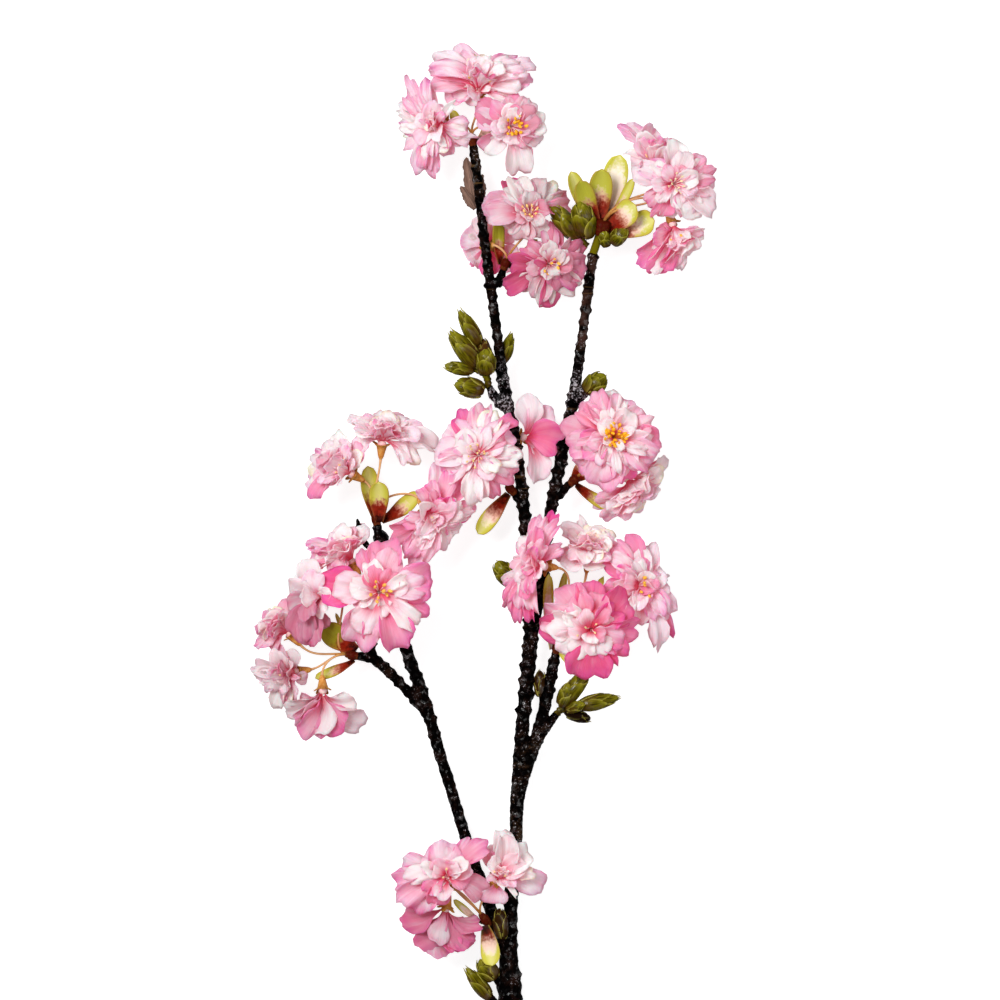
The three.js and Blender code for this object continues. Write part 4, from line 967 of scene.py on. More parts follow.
def makeBracts(name):
    shape = Shape()
    base, along = clusterAxis(name)
    onShoot = name in greenShoots
    heights, radii = np.array(bractForm["collar"]).T * (bractForm["collarOnShoot"] if onShoot else 1)
    sides = bractForm["collarSides"]
    lobes = 1 + 0.09 * np.cos(np.arange(sides) / sides * 2 * math.pi * 6)
    shape.addTube(base + heights[:, None] * along, radii[:, None] * lobes, (1, 0, 0, 0), sides, 1)
    for k, leaf in enumerate(bracts[name]):
        tip = place(*leaf["tip"])
        outward = tip - (base + along * bractForm["foot"])
        outward = unit(outward - along * (outward @ along))
        foot = base + along * bractForm["footOnShoot" if onShoot else "foot"] + outward * bractForm["footOut"]
        length = np.linalg.norm(tip - foot)
        way = unit(tip - foot)
        across = unit(np.cross(way, leaf["looks"]))
        face = np.cross(across, way)
        half = leaf["half"] * bractForm["fuller"]
        narrow = bractForm["narrowOnShoot" if onShoot else "narrow"]
        grid, uv = leafGrid(foot, way, across, face, length, half, bractForm["rows"], bractForm["cols"],
                            bow=bractForm["bow"], fold=bractForm["fold"], blunt=bractForm["blunt"],
                            widest=leaf.get("widest", bractForm["widest"]), curl=bractForm["curl"],
                            narrow=narrow)
        u, t = uv[..., 0], uv[..., 1]
        own = chance(ord(name), k, 2)
        wave = 0.35 * np.sin(t * 9 + own * 9) * u * np.abs(u)
        wave = wave - 0.3 * np.exp(-(u / 0.12) ** 2) * ease(0, 0.2, t)  # the groove of its rib
        grid = grid + face * (wave * ease(1, 0.7, t))[..., None]
        grid = offTheFloor(clearOfWood(grid, bractForm["offWood"]))
        shape.addSheet(grid, uv, (leaf["green"], leaf["red"], leaf["olive"], own), bractForm["thick"])
    shape.make("leaves_" + name, [bractLook, stalkLook], ["bracts_" + name])


for cluster in bracts:
    makeBracts(cluster)
print("young leaves made")


# The green buds. root and tip: px and mm, radius: mm, kind: pointed or round, dry: how brown all of it is,
# and above 1 how black, partly dried and partly painted shade on the buds that lie in shade. stalk and twig:
# stops as in limbs.
buds = {
    "d": {
        "stalk": [[489, 388, 23.4, 1.6], [487, 378, 25.2, 1.9], [483, 370, 26.2, 1.6]],
        "twig": [[486, 376, 25.2, 1.3], [474, 370, 24.6, 1.1], [462, 368, 24.2, 1.0]],
        "buds": [
            {"root": (480, 368, 24.6), "tip": (449, 330, 25), "radius": 5.2, "kind": "pointed", "dry": 0.1},
            {"root": (480, 347, 22.4), "tip": (459, 309, 21.4), "radius": 4.0, "kind": "pointed", "dry": 0.3},
            {"root": (486, 370, 23.4), "tip": (483, 338, 21.4), "radius": 3.7, "kind": "round", "dry": 1.3},
            {"root": (486, 375, 26.6), "tip": (486, 349, 31), "radius": 4.9, "kind": "round", "dry": 0},
            {"root": (474, 371, 24.6), "tip": (444, 366, 24.2), "radius": 3.2, "kind": "round", "dry": 0},
            {"root": (484, 391, 25.2), "tip": (454, 384, 27.2), "radius": 4.9, "kind": "round", "dry": 0.25},
        ],
    },
    "d_back": {"buds": [
        {"root": (503, 362, 17.2), "tip": (512, 332, 14.6), "radius": 3.1, "kind": "pointed", "dry": 0}]},
    "f": {"buds": [
        {"root": (586, 393, 23.4), "tip": (605, 374, 26), "radius": 5.3, "kind": "round", "dry": 0}]},
    "g": {"buds": [
        {"root": (515, 584, 19.6), "tip": (495, 562, 21.6), "radius": 5, "kind": "round", "dry": 0.42}]},
    "h": {
        "stalk": [[557, 714, 20.2, 1.7], [563, 706, 22.0, 2.0], [566, 700, 23.2, 1.7]],
        "twig": [[562, 710, 21.2, 1.6], [574, 706, 21.8, 1.4], [582, 704, 22.0, 1.3]],
        "buds": [
            {"root": (563, 704, 22.8), "tip": (588, 670, 24.6), "radius": 4.2, "kind": "round", "dry": 0.1},
            {"root": (561, 706, 23.2), "tip": (569, 683, 27.4), "radius": 3.5, "kind": "round", "dry": 0.2},
            {"root": (578, 706, 22.0), "tip": (620, 697, 22.6), "radius": 4, "kind": "pointed", "dry": 0},
            {"root": (566, 710, 23.2), "tip": (585, 703, 26.4), "radius": 2.6, "kind": "round", "dry": 0},
            {"root": (565, 712, 21.0), "tip": (591, 720, 18.8), "radius": 3.0, "kind": "round", "dry": 2.0},
        ],
    },
    "h_back": {"buds": [
        {"root": (542, 698, 16.6), "tip": (540, 670, 15.4), "radius": 3.4, "kind": "round", "dry": 1.7}]},
    "c": {
        "stalk": [[603, 246, 23.4, 1.3], [608, 243, 25.2, 1.3], [615, 240, 26.8, 1.1]],
        "buds": [
            {"root": (607, 246, 24.4), "tip": (602, 231, 29.6), "radius": 3.1, "kind": "round", "dry": 0.1},
            {"root": (612, 244, 25.6), "tip": (626, 229, 29.6), "radius": 3.9, "kind": "round", "dry": 0},
        ],
    },
    "c_left": {
        "stalk": [[588, 246, 22.4, 1.3], [582, 240, 22.6, 1.4], [580, 237, 22.8, 1.4]],
        "buds": [
            {"root": (587, 238, 25), "tip": (579, 202, 31), "radius": 6.0, "kind": "round", "dry": 0.42},
            {"root": (581, 240, 23), "tip": (548, 203, 22), "radius": 5.2, "kind": "pointed", "dry": 0.4},
        ],
    },
    "k": {"buds": [
        {"root": (502, 940, 13.0), "tip": (499, 908, 16), "radius": 3.7, "kind": "round", "dry": 1.7}]},
    "k_mid": {"buds": [
        {"root": (495, 980, 11.8), "tip": (479, 960, 14.4), "radius": 4.8, "kind": "round", "dry": 0.1}]},
    "k_low": {"buds": [
        {"root": (491, 1000, 11.6), "tip": (465, 968, 13.4), "radius": 3.7, "kind": "pointed", "dry": 0.4}]},
}
budForm = {
    "pointed": {
        "profile": [(0, 0.4), (0.1, 0.68), (0.24, 0.93), (0.4, 0.98), (0.58, 0.88), (0.74, 0.66),
                    (0.88, 0.38), (1, 0.1)],  # along its length, and share of its radius
        "cover": 0.66, "flare": 1.5,
    },
    "round": {
        "profile": [(0, 0.42), (0.12, 0.8), (0.3, 0.97), (0.55, 0.98), (0.76, 0.82), (0.9, 0.56), (1, 0.16)],
        "cover": 0.62, "flare": 0.5,
    },
    "coreRadius": 0.88, "coreLength": 0.97, "coreSides": 14,
    "scales": 8, "scaleThick": 0.5, "scaleRows": 10, "scaleCols": 9, "lastFoot": 0.42,
    "halfTurn": 68, "goldenTurn": 137.5,  # how far round a scale reaches, and from one scale to the next
    "knob": 0.14, "stalkSides": 12, "stalkStep": 0.6,
}


def addBud(shape, bud, seed):
    form = budForm[bud["kind"]]
    root, tip = place(*bud["root"]), place(*bud["tip"])
    axis = unit(tip - root)
    length = np.linalg.norm(tip - root)
    side = unit(np.cross(axis, [0.2, 0.1, 1]))
    up = np.cross(axis, side)
    stops, shares = np.array(form["profile"]).T

    def surface(t, angle, lift):
        radius = np.maximum(np.interp(t, stops, shares) * bud["radius"] * 0.9 + lift, 0.12)
        ring = side * np.cos(angle)[..., None] + up * np.sin(angle)[..., None]
        return root + axis * (t * length)[..., None] + ring * radius[..., None]

    own = chance(seed, 1, 4)
    heights = np.linspace(0, 1, 12)
    bulge = np.interp(heights, stops, shares) * bud["radius"] * budForm["coreRadius"]
    core = root + heights[:, None] * axis * length * budForm["coreLength"]
    shape.addTube(core, bulge, (1, bud["dry"], 0, own), budForm["coreSides"])
    count = budForm["scales"]
    t = np.linspace(0, 1, budForm["scaleRows"])[:, None]
    u = np.linspace(-1, 1, budForm["scaleCols"])[None, :]
    for k in range(count):
        late = k / (count - 1)
        low = budForm["lastFoot"] * late
        high = min(1.03, low + form["cover"] * (0.92 + 0.16 * chance(seed, k, 5)))
        wide = math.radians(budForm["halfTurn"] * (1 - 0.25 * late))
        turn = math.radians(budForm["goldenTurn"] * k + 360 * chance(seed, 0, 6))
        taper = np.sqrt(np.clip(1 - t ** 3.2, 0, 1)) * (1 - 0.15 * t) + 0.03
        along = low + (high - low) * t * (1 - 0.1 * u * u * t)
        lift = 0.2 + 0.5 * (1 - late) + 0.28 * form["flare"] * t ** 5 - 0.18 * u * u * (1 - t)
        grid = surface(along, turn + u * wide * taper, lift * bud["radius"] / 4.5)
        dry = bud["dry"] + 0.3 * (chance(seed, k, 8) - 0.6) * (1 - late)
        look = (0.85 - 0.5 * late, max(0, dry), 0.6, chance(seed, k, 9))
        uv = np.stack(np.broadcast_arrays(u, t), axis=2)
        shape.addSheet(grid[:, ::-1], uv, look, budForm["scaleThick"])


def makeBuds(name, seed):
    shape = Shape()
    for key in ("stalk", "twig"):
        if key in buds[name]:
            path = smoothPath(inMm(buds[name][key]), budForm["stalkStep"])
            knobs = 1 + budForm["knob"] * np.sin(np.arange(len(path)) * 1.9)
            shape.addTube(path[:, :3], path[:, 3] * knobs, (0.35, 0, 0, 0.5), budForm["stalkSides"])
    for k, bud in enumerate(buds[name]["buds"]):
        addBud(shape, bud, seed * 7 + k)
    shape.make("greenbud_" + name, [budLook], ["bud_" + name])


for seed, name in enumerate(buds):
    makeBuds(name, seed)
print("buds made")

# The dried scales that cling to the stem below the top cluster.
sheaths = [
    {"from": (475, 209, 17.5), "to": (461, 186, 17.2), "half": 2.7},
    {"from": (474, 199, 17.5), "to": (466, 157, 16.6), "half": 3.7},
    {"from": (482, 204, 18.5), "to": (482, 174, 18.5), "half": 2.0},
]
sheathForm = {
    "thick": 0.4, "rows": 25, "cols": 13, "looks": (-0.4, 0.1, 1), "bow": -0.06, "fold": -0.5, "widest": 0.42,
    "blunt": 1.5, "ragged": 0.4, "buckle": 0.45,
}


def makeSheaths():
    shape = Shape()
    for k, scale in enumerate(sheaths):
        foot, tip = place(*scale["from"]), place(*scale["to"])
        way = unit(tip - foot)
        across = unit(np.cross(way, sheathForm["looks"]))
        face = np.cross(across, way)
        grid, uv = leafGrid(foot, way, across, face, np.linalg.norm(tip - foot), scale["half"],
                            sheathForm["rows"], sheathForm["cols"], bow=sheathForm["bow"],
                            fold=sheathForm["fold"], widest=sheathForm["widest"], blunt=sheathForm["blunt"])
        u, t = uv[..., 0], uv[..., 1]
        ragged = sheathForm["ragged"] * np.sin(t * 31 + k * 2) * np.sin(t * 13 + u * 2) * np.abs(u) ** 3
        buckle = sheathForm["buckle"] * np.sin(t * 11 + u * 3 + k) * (0.3 + u * u)
        grid = grid + across * (ragged * np.sign(u))[..., None] + face * buckle[..., None]
        shape.addSheet(grid, uv, (0, 0, 0, chance(k, 3, 1)), sheathForm["thick"])
    shape.make("dry_sheath", [sheathLook], ())


makeSheaths()
print("dried scales made")


# The petals that show, outer ones first: tip px, how many mm the tip rises above where the petals meet, half
# width in mm, and tint.
petalsOf = {
    "f1": [
        (560, 433, -2, 9.2, "mauveShaded"), (576, 467, -5, 7, "rimmed"), (598, 488, -1, 10, "rimmed"),
        (624, 483, -3, 7.5, "deep"), (652, 466, -1, 8, "rimmed"), (660, 444, 0, 9, "pink"),
        (648, 418, 1, 9, "pale"), (624, 396, -2, 8, "lilac"), (606, 390, -2, 6, "white"),
        (588, 396, 2, 7, "pink"), (577, 408, 3, 6, "coral"), (581, 450, 4, 9, "rimmed"),
        (628, 473, 4, 7.5, "pale"), (605, 461, 6, 6.5, "blush"), (649, 451, 5, 6.5, "blush"),
        (632, 412, 7, 7, "buff"), (600, 420, 8, 5, "blush"), (634, 430, 10, 3, "white"),
        (603, 443, 10, 3, "white"), (608, 418, 11, 2.6, "white"), (621, 452, 10, 2.6, "cream"),
    ],
    "l1": [
        (320, 583, -1, 11, "hot"), (362, 549, 1, 5.5, "pink"), (386, 538, -1, 9, "pink"),
        (434, 582, -1, 10.5, "magenta"), (426, 618, 0, 7, "pink"), (404, 647, -1, 9.5, "magenta"),
        (374, 641, -1, 8, "rimmed"), (350, 643, -1, 10.5, "lilac"), (334, 584, 3, 8.5, "blush"),
        (388, 549, 3, 8.5, "pale"), (425, 581, 3, 8, "pale"), (418, 627, 4, 6.5, "white"),
        (362, 633, 4, 8.5, "blush"), (350, 586, 7, 7, "buff"), (371, 566, 8, 6.5, "coral"),
        (397, 571, 8, 5.5, "coral"), (407, 579, 8, 3.5, "cream"), (406, 606, 5, 7, "blush"),
        (380, 609, 6, 6, "white"), (356, 602, 7, 5, "white"),
    ],
    "g4": [
        (539, 627, -2, 8.5, "vivid"), (567, 583, -1, 8.5, "pink"), (592, 581, -1, 8.5, "deep"),
        (630, 596, 1, 10, "vivid"), (637, 630, -1, 8.5, "deep"), (624, 655, -1, 8, "deep"),
        (586, 678, -3, 12, "vivid"), (606, 668, -4, 8, "vivid"), (543, 606, 1, 8.5, "lilac"),
        (549, 617, 4, 8.5, "white"), (561, 652, 2, 9.5, "white"), (576, 656, 3, 7.5, "white"),
        (604, 654, 5, 7, "silverShaded"), (624, 638, 4, 7.5, "rimmed"), (573, 594, 5, 8, "pink"),
        (598, 592, 7, 8.5, "coral"), (617, 606, 7, 7.5, "hot"), (568, 626, 8, 5.5, "blush"),
        (588, 643, 9, 4.5, "white"), (606, 606, 12, 4, "coral"), (582, 609, 12, 4, "blush"),
        (566, 606, 7, 5, "white"), (606, 634, 9, 4.5, "coral"),
    ],
    "e1": [
        (435, 450, -1, 9, "pale"), (444, 431, -1, 8, "pale"), (461, 411, -3, 6.5, "hot"),
        (479, 404, -2, 7, "lilac"), (493, 411, 2, 7, "white"), (511, 416, 1, 6, "deep"),
        (522, 458, 3, 7, "white"), (514, 480, -1, 7, "mauveShaded"), (499, 497, -2, 5, "mauveShaded"),
        (480, 504, -1, 7.5, "white"), (462, 484, -1, 7.5, "pink"), (445, 476, -2, 7.5, "pale"),
        (457, 436, 4, 8, "buff"), (458, 462, 4, 6.5, "blush"), (484, 427, 6, 7, "blush"),
        (503, 435, 7, 5, "coral"), (501, 469, 8, 4.5, "cream"), (488, 476, 5, 5.5, "pink"),
        (470, 444, 9, 4, "blush"),
    ],
    "k1": [
        (402, 864, 0, 6.5, "lilac"), (395, 888, -3, 7.5, "lilac"), (399, 902, 1, 6.5, "rimmed"),
        (416, 911, -4, 8.5, "rimmed"), (429, 846, 3, 9, "pale"), (450, 841, 5, 9, "lilac"),
        (476, 841, 3, 5.5, "lilac"), (486, 840, 2, 6, "rimmed"), (483, 896, -4, 7.5, "mauveShaded"),
        (440, 905, 2, 6, "mauveShaded"), (466, 886, 4, 5, "pink"), (405, 876, 5, 5.5, "white"),
        (420, 867, 8, 4, "cream"), (447, 857, 11, 7.5, "pale"), (468, 858, 10, 4.5, "cream"),
        (427, 892, 6, 5, "rimmed"), (435, 862, 9, 6, "blush"), (462, 866, 12, 4, "blush"),
    ],
    "b2": [
        (508, 266, 0, 8.5, "vivid"), (501, 284, -3, 7, "vivid"), (534, 299, 1, 7.5, "silverShaded"),
        (549, 307, -3, 7.5, "deep"), (564, 289, 1, 7, "mauveShaded"), (575, 293, -4, 7.5, "white"),
        (587, 262, 1, 9.5, "mauveShaded"), (585, 246, -6, 7, "mauveShaded"), (553, 225, -7, 6.5, "pink"),
        (526, 244, 1, 6, "rimmed"), (566, 251, 9, 5, "white"), (544, 279, 8, 4, "white"),
        (557, 277, 8, 4, "white"), (574, 262, 6, 6, "coral"), (532, 268, 6, 5, "vivid"),
        (546, 244, 8, 6, "white"), (552, 284, 4, 5, "rimmed"),
    ],
    "b1": [
        (484, 203, 0, 9.5, "lilac"), (502, 181, -3, 6.5, "vivid"), (515, 175, 0, 7, "white"),
        (536, 178, 0, 7, "tan"), (551, 181, -4, 6, "cream"), (563, 192, -8, 5, "buff"),
        (570, 204, -12, 6.5, "lilac"), (541, 238, 0, 6.5, "white"), (523, 241, 0, 7, "blush"),
        (505, 230, 0, 6, "blush"), (506, 187, 3, 5, "white"), (517, 198, 6, 5, "coral"),
        (533, 192, 6, 5.5, "tan"), (549, 208, 5, 5.5, "coral"), (543, 222, 7, 4.5, "blush"),
        (522, 218, 8, 4.5, "blush"),
    ],
    "c2": [
        (676, 140, 0, 7.5, "white"), (703, 157, 0, 6.5, "pink"), (716, 178, -1, 6.5, "mauveShaded"),
        (716, 208, -3, 8.5, "buff"), (693, 220, 0, 8, "white"), (657, 218, -2, 6.5, "pink"),
        (646, 202, -2, 6.5, "rimmed"), (632, 174, 0, 8.5, "silverShaded"), (681, 151, 4, 6.5, "buff"),
        (698, 176, 7, 6, "white"), (678, 211, 5, 6, "white"), (652, 163, 5, 5, "white"),
        (664, 168, 7, 5.5, "coral"), (686, 168, 7, 5, "coral"), (655, 200, 6, 4.5, "blush"),
        (696, 194, 6, 5.5, "blush"),
    ],
    "a3": [
        (475, 110, 0, 8, "mauveShaded"), (482, 151, -1, 7, "mauveShaded"), (517, 176, -5, 8.5, "white"),
        (528, 152, -2, 6.5, "silverShaded"), (546, 124, -2, 7.5, "cream"), (539, 144, -2, 6.5, "buff"),
        (528, 98, 0, 7, "silverShaded"), (510, 96, 0, 6, "pink"), (536, 113, 4, 8, "coralShaded"),
        (533, 139, 3, 8, "coralShaded"), (490, 106, 5, 5.5, "pink"), (493, 137, 6, 4, "white"),
        (497, 124, 10, 3.5, "white"), (512, 146, 5, 5.5, "blush"), (517, 106, 8, 5, "coral"),
    ],
    "a2": [
        (410, 75, 1, 5.5, "rimmed"), (425, 85, 1, 6.5, "lilac"), (400, 103, 0, 5, "silverShaded"),
        (407, 96, 2, 5.5, "rimmed"), (399, 126, -2, 7, "white"), (405, 149, -2, 6, "lilac"),
        (418, 172, -1, 7.5, "lilac"), (433, 178, 0, 6, "pink"), (450, 156, 1, 6.5, "mauveShaded"),
        (476, 142, -2, 5.5, "lilac"), (469, 128, 3, 7.5, "lilac"), (433, 100, 5, 7, "pink"),
        (417, 116, 8, 6, "blush"), (416, 144, 6, 6.5, "pink"), (428, 160, 5, 5, "white"),
        (445, 149, 9, 3, "white"), (428, 127, 12, 4, "coral"), (440, 108, 10, 5, "coral"),
    ],
    "a1": [
        (429, 86, 3, 8, "pink"), (446, 100, 1, 7, "pink"), (470, 105, 0, 6.5, "lilac"),
        (520, 97, 0, 7.5, "pink"), (533, 84, 2, 7, "rimmed"), (537, 68, 0, 6, "lilac"),
        (516, 57, -2, 7.5, "rimmed"), (500, 58, 0, 6.5, "white"), (482, 55, 0, 8, "white"),
        (450, 51, -1, 9, "lilac"), (432, 62, 0, 7.5, "pale"), (428, 73, 2, 6, "pink"),
        (469, 60, 6, 7, "pale"), (470, 72, 11, 6, "blush"), (487, 79, 14, 7, "vivid"),
        (504, 70, 9, 6, "white"), (487, 56, 5, 6, "blush"), (524, 76, 6, 6, "pale"),
    ],
    "g3": [
        (629, 535, 1, 6, "pink"), (645, 543, -1, 6.5, "silverShaded"), (663, 570, 0, 8, "white"),
        (669, 590, 0, 7.5, "blush"), (675, 612, -2, 8, "silverShaded"), (659, 649, -4, 5.5, "silverShaded"),
        (640, 625, -3, 6, "pink"), (604, 592, 3, 7, "pink"), (603, 560, 4, 7, "pink"),
        (612, 543, 3, 6, "lilac"), (660, 618, 3, 7, "lilac"), (654, 592, 8, 6.5, "mauveShaded"),
        (650, 572, 7, 6.5, "buff"), (632, 560, 9, 5.5, "tan"), (616, 568, 9, 5, "rimmed"),
        (612, 588, 8, 5, "blush"), (640, 602, 8, 5, "blush"),
    ],
    "g2": [
        (561, 525, 1, 6.5, "coral"), (566, 570, 5, 7, "coral"), (596, 571, 5, 7, "tan"),
        (576, 517, -1, 3.5, "silverShaded"), (591, 526, 0, 8, "white"), (608, 530, -1, 6.5, "buff"),
        (617, 538, 0, 6, "cream"), (558, 562, 1, 6, "pink"), (619, 560, 1, 6.5, "pink"),
        (571, 545, 9, 7.5, "pink"), (588, 545, 11, 7, "rimmed"), (605, 550, 9, 7, "rimmed"),
        (583, 535, 6, 6.5, "blush"), (600, 535, 5, 6.5, "white"), (573, 562, 8, 7, "pink"),
        (603, 563, 8, 6.5, "rimmed"),
    ],
    "g1": [
        (543, 516, 3, 6, "lilac"), (557, 512, 4, 5.5, "hot"), (524, 534, -2, 7, "white"),
        (516, 551, -3, 7, "white"), (514, 570, -2, 6.5, "buff"), (505, 588, -3, 5.5, "silverShaded"),
        (503, 601, -1, 5.5, "pink"), (511, 610, 0, 6, "pink"), (518, 623, 0, 5, "deep"),
        (529, 622, 2, 5.5, "deep"), (563, 546, 4, 5.5, "lilac"), (541, 529, 9, 6.5, "pink"),
        (528, 556, 8, 6, "blush"), (522, 575, 9, 5.5, "blush"), (524, 598, 8, 6, "pink"),
        (535, 545, 12, 4.5, "rimmed"), (533, 590, 11, 5, "rimmed"),
    ],
    "i3": [
        (436, 461, 1, 6, "lilac"), (462, 473, 0, 7, "pink"), (475, 506, -1, 6, "pink"),
        (474, 513, -2, 4.5, "silverShaded"), (460, 530, -1, 7, "silverShaded"), (448, 547, 0, 7, "silverShaded"),
        (432, 553, 1, 6.5, "tan"), (409, 563, 0, 8, "lilac"), (391, 536, -1, 8, "mauveShaded"),
        (402, 522, 4, 5, "magenta"), (424, 561, 5, 5, "coral"), (464, 512, 6, 6, "tan"),
        (450, 497, 8, 6, "hot"), (432, 480, 8, 5, "rimmed"), (440, 530, 8, 5.5, "tan"),
        (415, 540, 7, 5.5, "blush"), (457, 498, 5, 5, "white"),
    ],
    "i1": [
        (363, 446, 2, 7, "pink"), (342, 431, -2, 7, "white"), (326, 442, -1, 8, "buff"),
        (311, 458, -1, 5, "silverShaded"), (309, 472, -1, 6, "white"), (306, 487, 0, 7, "lilac"),
        (313, 500, 3, 6, "deep"), (322, 466, 9, 8, "mauveShaded"), (336, 450, 8, 6, "blush"),
        (350, 446, 7, 5.5, "rimmed"), (320, 484, 7, 5, "pink"),
    ],
    "i2": [
        (348, 418, 0, 5, "silverShaded"), (363, 417, 2, 4, "lilac"), (380, 413, 0, 8, "white"),
        (396, 414, -1, 7, "white"), (413, 423, 0, 6, "silverShaded"), (424, 436, 1, 6, "lilac"),
        (437, 453, 0, 6.5, "silverShaded"), (414, 466, -2, 5.5, "white"), (354, 452, -1, 6, "lilac"),
        (404, 432, 10, 7.5, "coralShaded"), (385, 428, 12, 6.5, "coral"), (370, 432, 8, 5.5, "pink"),
        (392, 420, 6, 6, "blush"), (358, 436, 5, 5, "blush"),
    ],
    "k3": [
        (491, 903, -1, 7.5, "lilac"), (543, 892, -1, 7, "lilac"), (486, 846, 2, 5, "blush"),
        (503, 828, 1, 6, "white"), (532, 853, 3, 7.5, "white"), (509, 834, 6, 6, "tan"),
        (494, 848, 6, 4, "coral"), (526, 861, 8, 6.5, "blush"), (536, 873, 4, 3.5, "cream"),
        (510, 885, 9, 5, "white"), (503, 868, 11, 4, "blush"),
    ],
    "k2": [
        (401, 918, 0, 8, "rose"), (417, 943, 1, 8.5, "rose"), (446, 957, -1, 8.5, "tanRose"),
        (474, 943, 1, 9, "rose"), (481, 922, -2, 6, "rose"), (432, 940, 5, 6, "tanRose"),
        (458, 948, 3, 6, "deep"),
    ],
    "j3": [
        (306, 559, 1, 6.5, "silverShaded"), (302, 566, -3, 6, "white"), (288, 587, -1, 8, "silverShaded"),
        (289, 612, -1, 7.5, "dusk"), (300, 641, 1, 8, "dusk"), (313, 646, 3, 7, "dusk"),
        (316, 569, 5, 6, "lilac"), (303, 592, 8, 6, "silverShaded"), (310, 620, 9, 5, "dusk"),
        (325, 630, -2, 6, "dusk"),
    ],
    "l2": [
        (305, 544, 0, 5.5, "rimmed"), (329, 536, 0, 7, "buff"), (347, 524, 0, 7.5, "white"),
        (369, 526, 1, 6, "blush"), (308, 562, 0, 6, "pink"), (340, 538, 7, 6, "blush"),
        (326, 550, 8, 6, "coral"), (358, 540, 7, 5.5, "pink"), (317, 553, 5, 5, "rimmed"),
        (318, 570, 2, 6, "blush"), (336, 574, 4, 6.5, "pink"), (352, 536, 6, 5, "cream"),
    ],
    "j6": [
        (284, 706, -1, 6, "buff"), (293, 722, 1, 7, "lilac"), (303, 737, 3, 8, "deep"),
        (318, 733, 5, 6.5, "blush"), (344, 732, 3, 9, "deep"), (368, 719, 0, 8, "pale"),
        (356, 700, 2, 7, "white"), (300, 700, -3, 6, "pink"), (332, 725, -3, 6, "pink"),
        (300, 716, 5, 6.5, "pale"),
    ],
    "j5": [
        (297, 650, 3, 7, "silverShaded"), (277, 645, 0, 6.5, "rimmed"), (253, 660, 0, 6.5, "blush"),
        (255, 676, 0, 6.5, "blush"), (262, 688, 1, 6, "lilac"), (277, 709, -1, 6, "buff"),
        (293, 706, 2, 6, "mauveShaded"), (308, 678, 0, 5, "rimmed"), (280, 662, 9, 6.5, "mauveShaded"),
        (274, 684, 8, 6.5, "silverShaded"), (268, 670, 9, 5, "blush"), (288, 690, 8, 5, "mauveShaded"),
    ],
    "j4": [
        (290, 600, 0, 6.5, "pink"), (273, 606, 0, 6, "cream"), (262, 617, 1, 7, "lilac"),
        (256, 633, 3, 6.5, "rimmed"), (256, 649, 1, 6, "rimmed"), (275, 652, 2, 5.5, "pink"),
        (276, 618, 8, 6, "coral"), (270, 632, 9, 6, "rimmed"), (285, 612, 6, 5, "blush"),
    ],
    "c3": [
        (635, 260, 0, 7.5, "magenta"), (648, 274, 3, 7.5, "deep"), (661, 270, 4, 6, "deep"),
        (671, 271, 1, 4.5, "silverShaded"), (683, 257, 4, 5.5, "white"), (698, 250, 1, 7.5, "buff"),
        (705, 232, -1, 6, "white"), (651, 239, 5, 6, "rimmed"), (657, 227, 2, 5, "mauveShaded"),
        (676, 250, 8, 5, "blush"), (690, 240, 7, 5, "mauveShaded"),
    ],
    "c1": [
        (618, 127, 0, 4.5, "rimmed"), (626, 126, 1, 5.5, "lilac"), (653, 124, 2, 9, "lilac"),
        (668, 139, 0, 6.5, "pink"), (636, 140, 4, 6.5, "pink"), (648, 133, 8, 5.5, "blush"),
        (660, 140, 7, 5, "rimmed"),
    ],
    "f2": [
        (664, 455, -2, 6, "white"), (663, 466, 0, 5.5, "cream"), (661, 487, 3, 8, "tan"),
        (643, 499, 2, 7.5, "mauveShaded"), (632, 512, 1, 5.5, "cream"), (618, 518, 2, 7, "pink"),
        (599, 517, 0, 6.5, "lilac"), (592, 500, -2, 6, "lilac"), (650, 476, 8, 6.5, "silverShaded"),
        (635, 495, 8, 6, "mauveShaded"), (614, 500, 7, 5, "blush"), (624, 505, 7, 5, "coral"),
    ],
    "m1": [
        (548, 406, 0, 8, "pale"), (548, 460, -1, 6, "pale"), (537, 482, 1, 6.5, "blush"),
        (521, 397, 3, 7.5, "silverShaded"), (563, 440, 5, 9.6, "vivid"), (533, 404, -2, 6, "blush"),
    ],
    "b3": [
        (465, 230, -2, 9, "lilac"), (488, 212, -1, 8.5, "white"), (510, 224, 0, 8, "pale"),
        (493, 274, 2, 5.5, "hot"), (514, 262, 0, 8, "pale"), (470, 262, -1, 7, "lilac"),
    ],
}
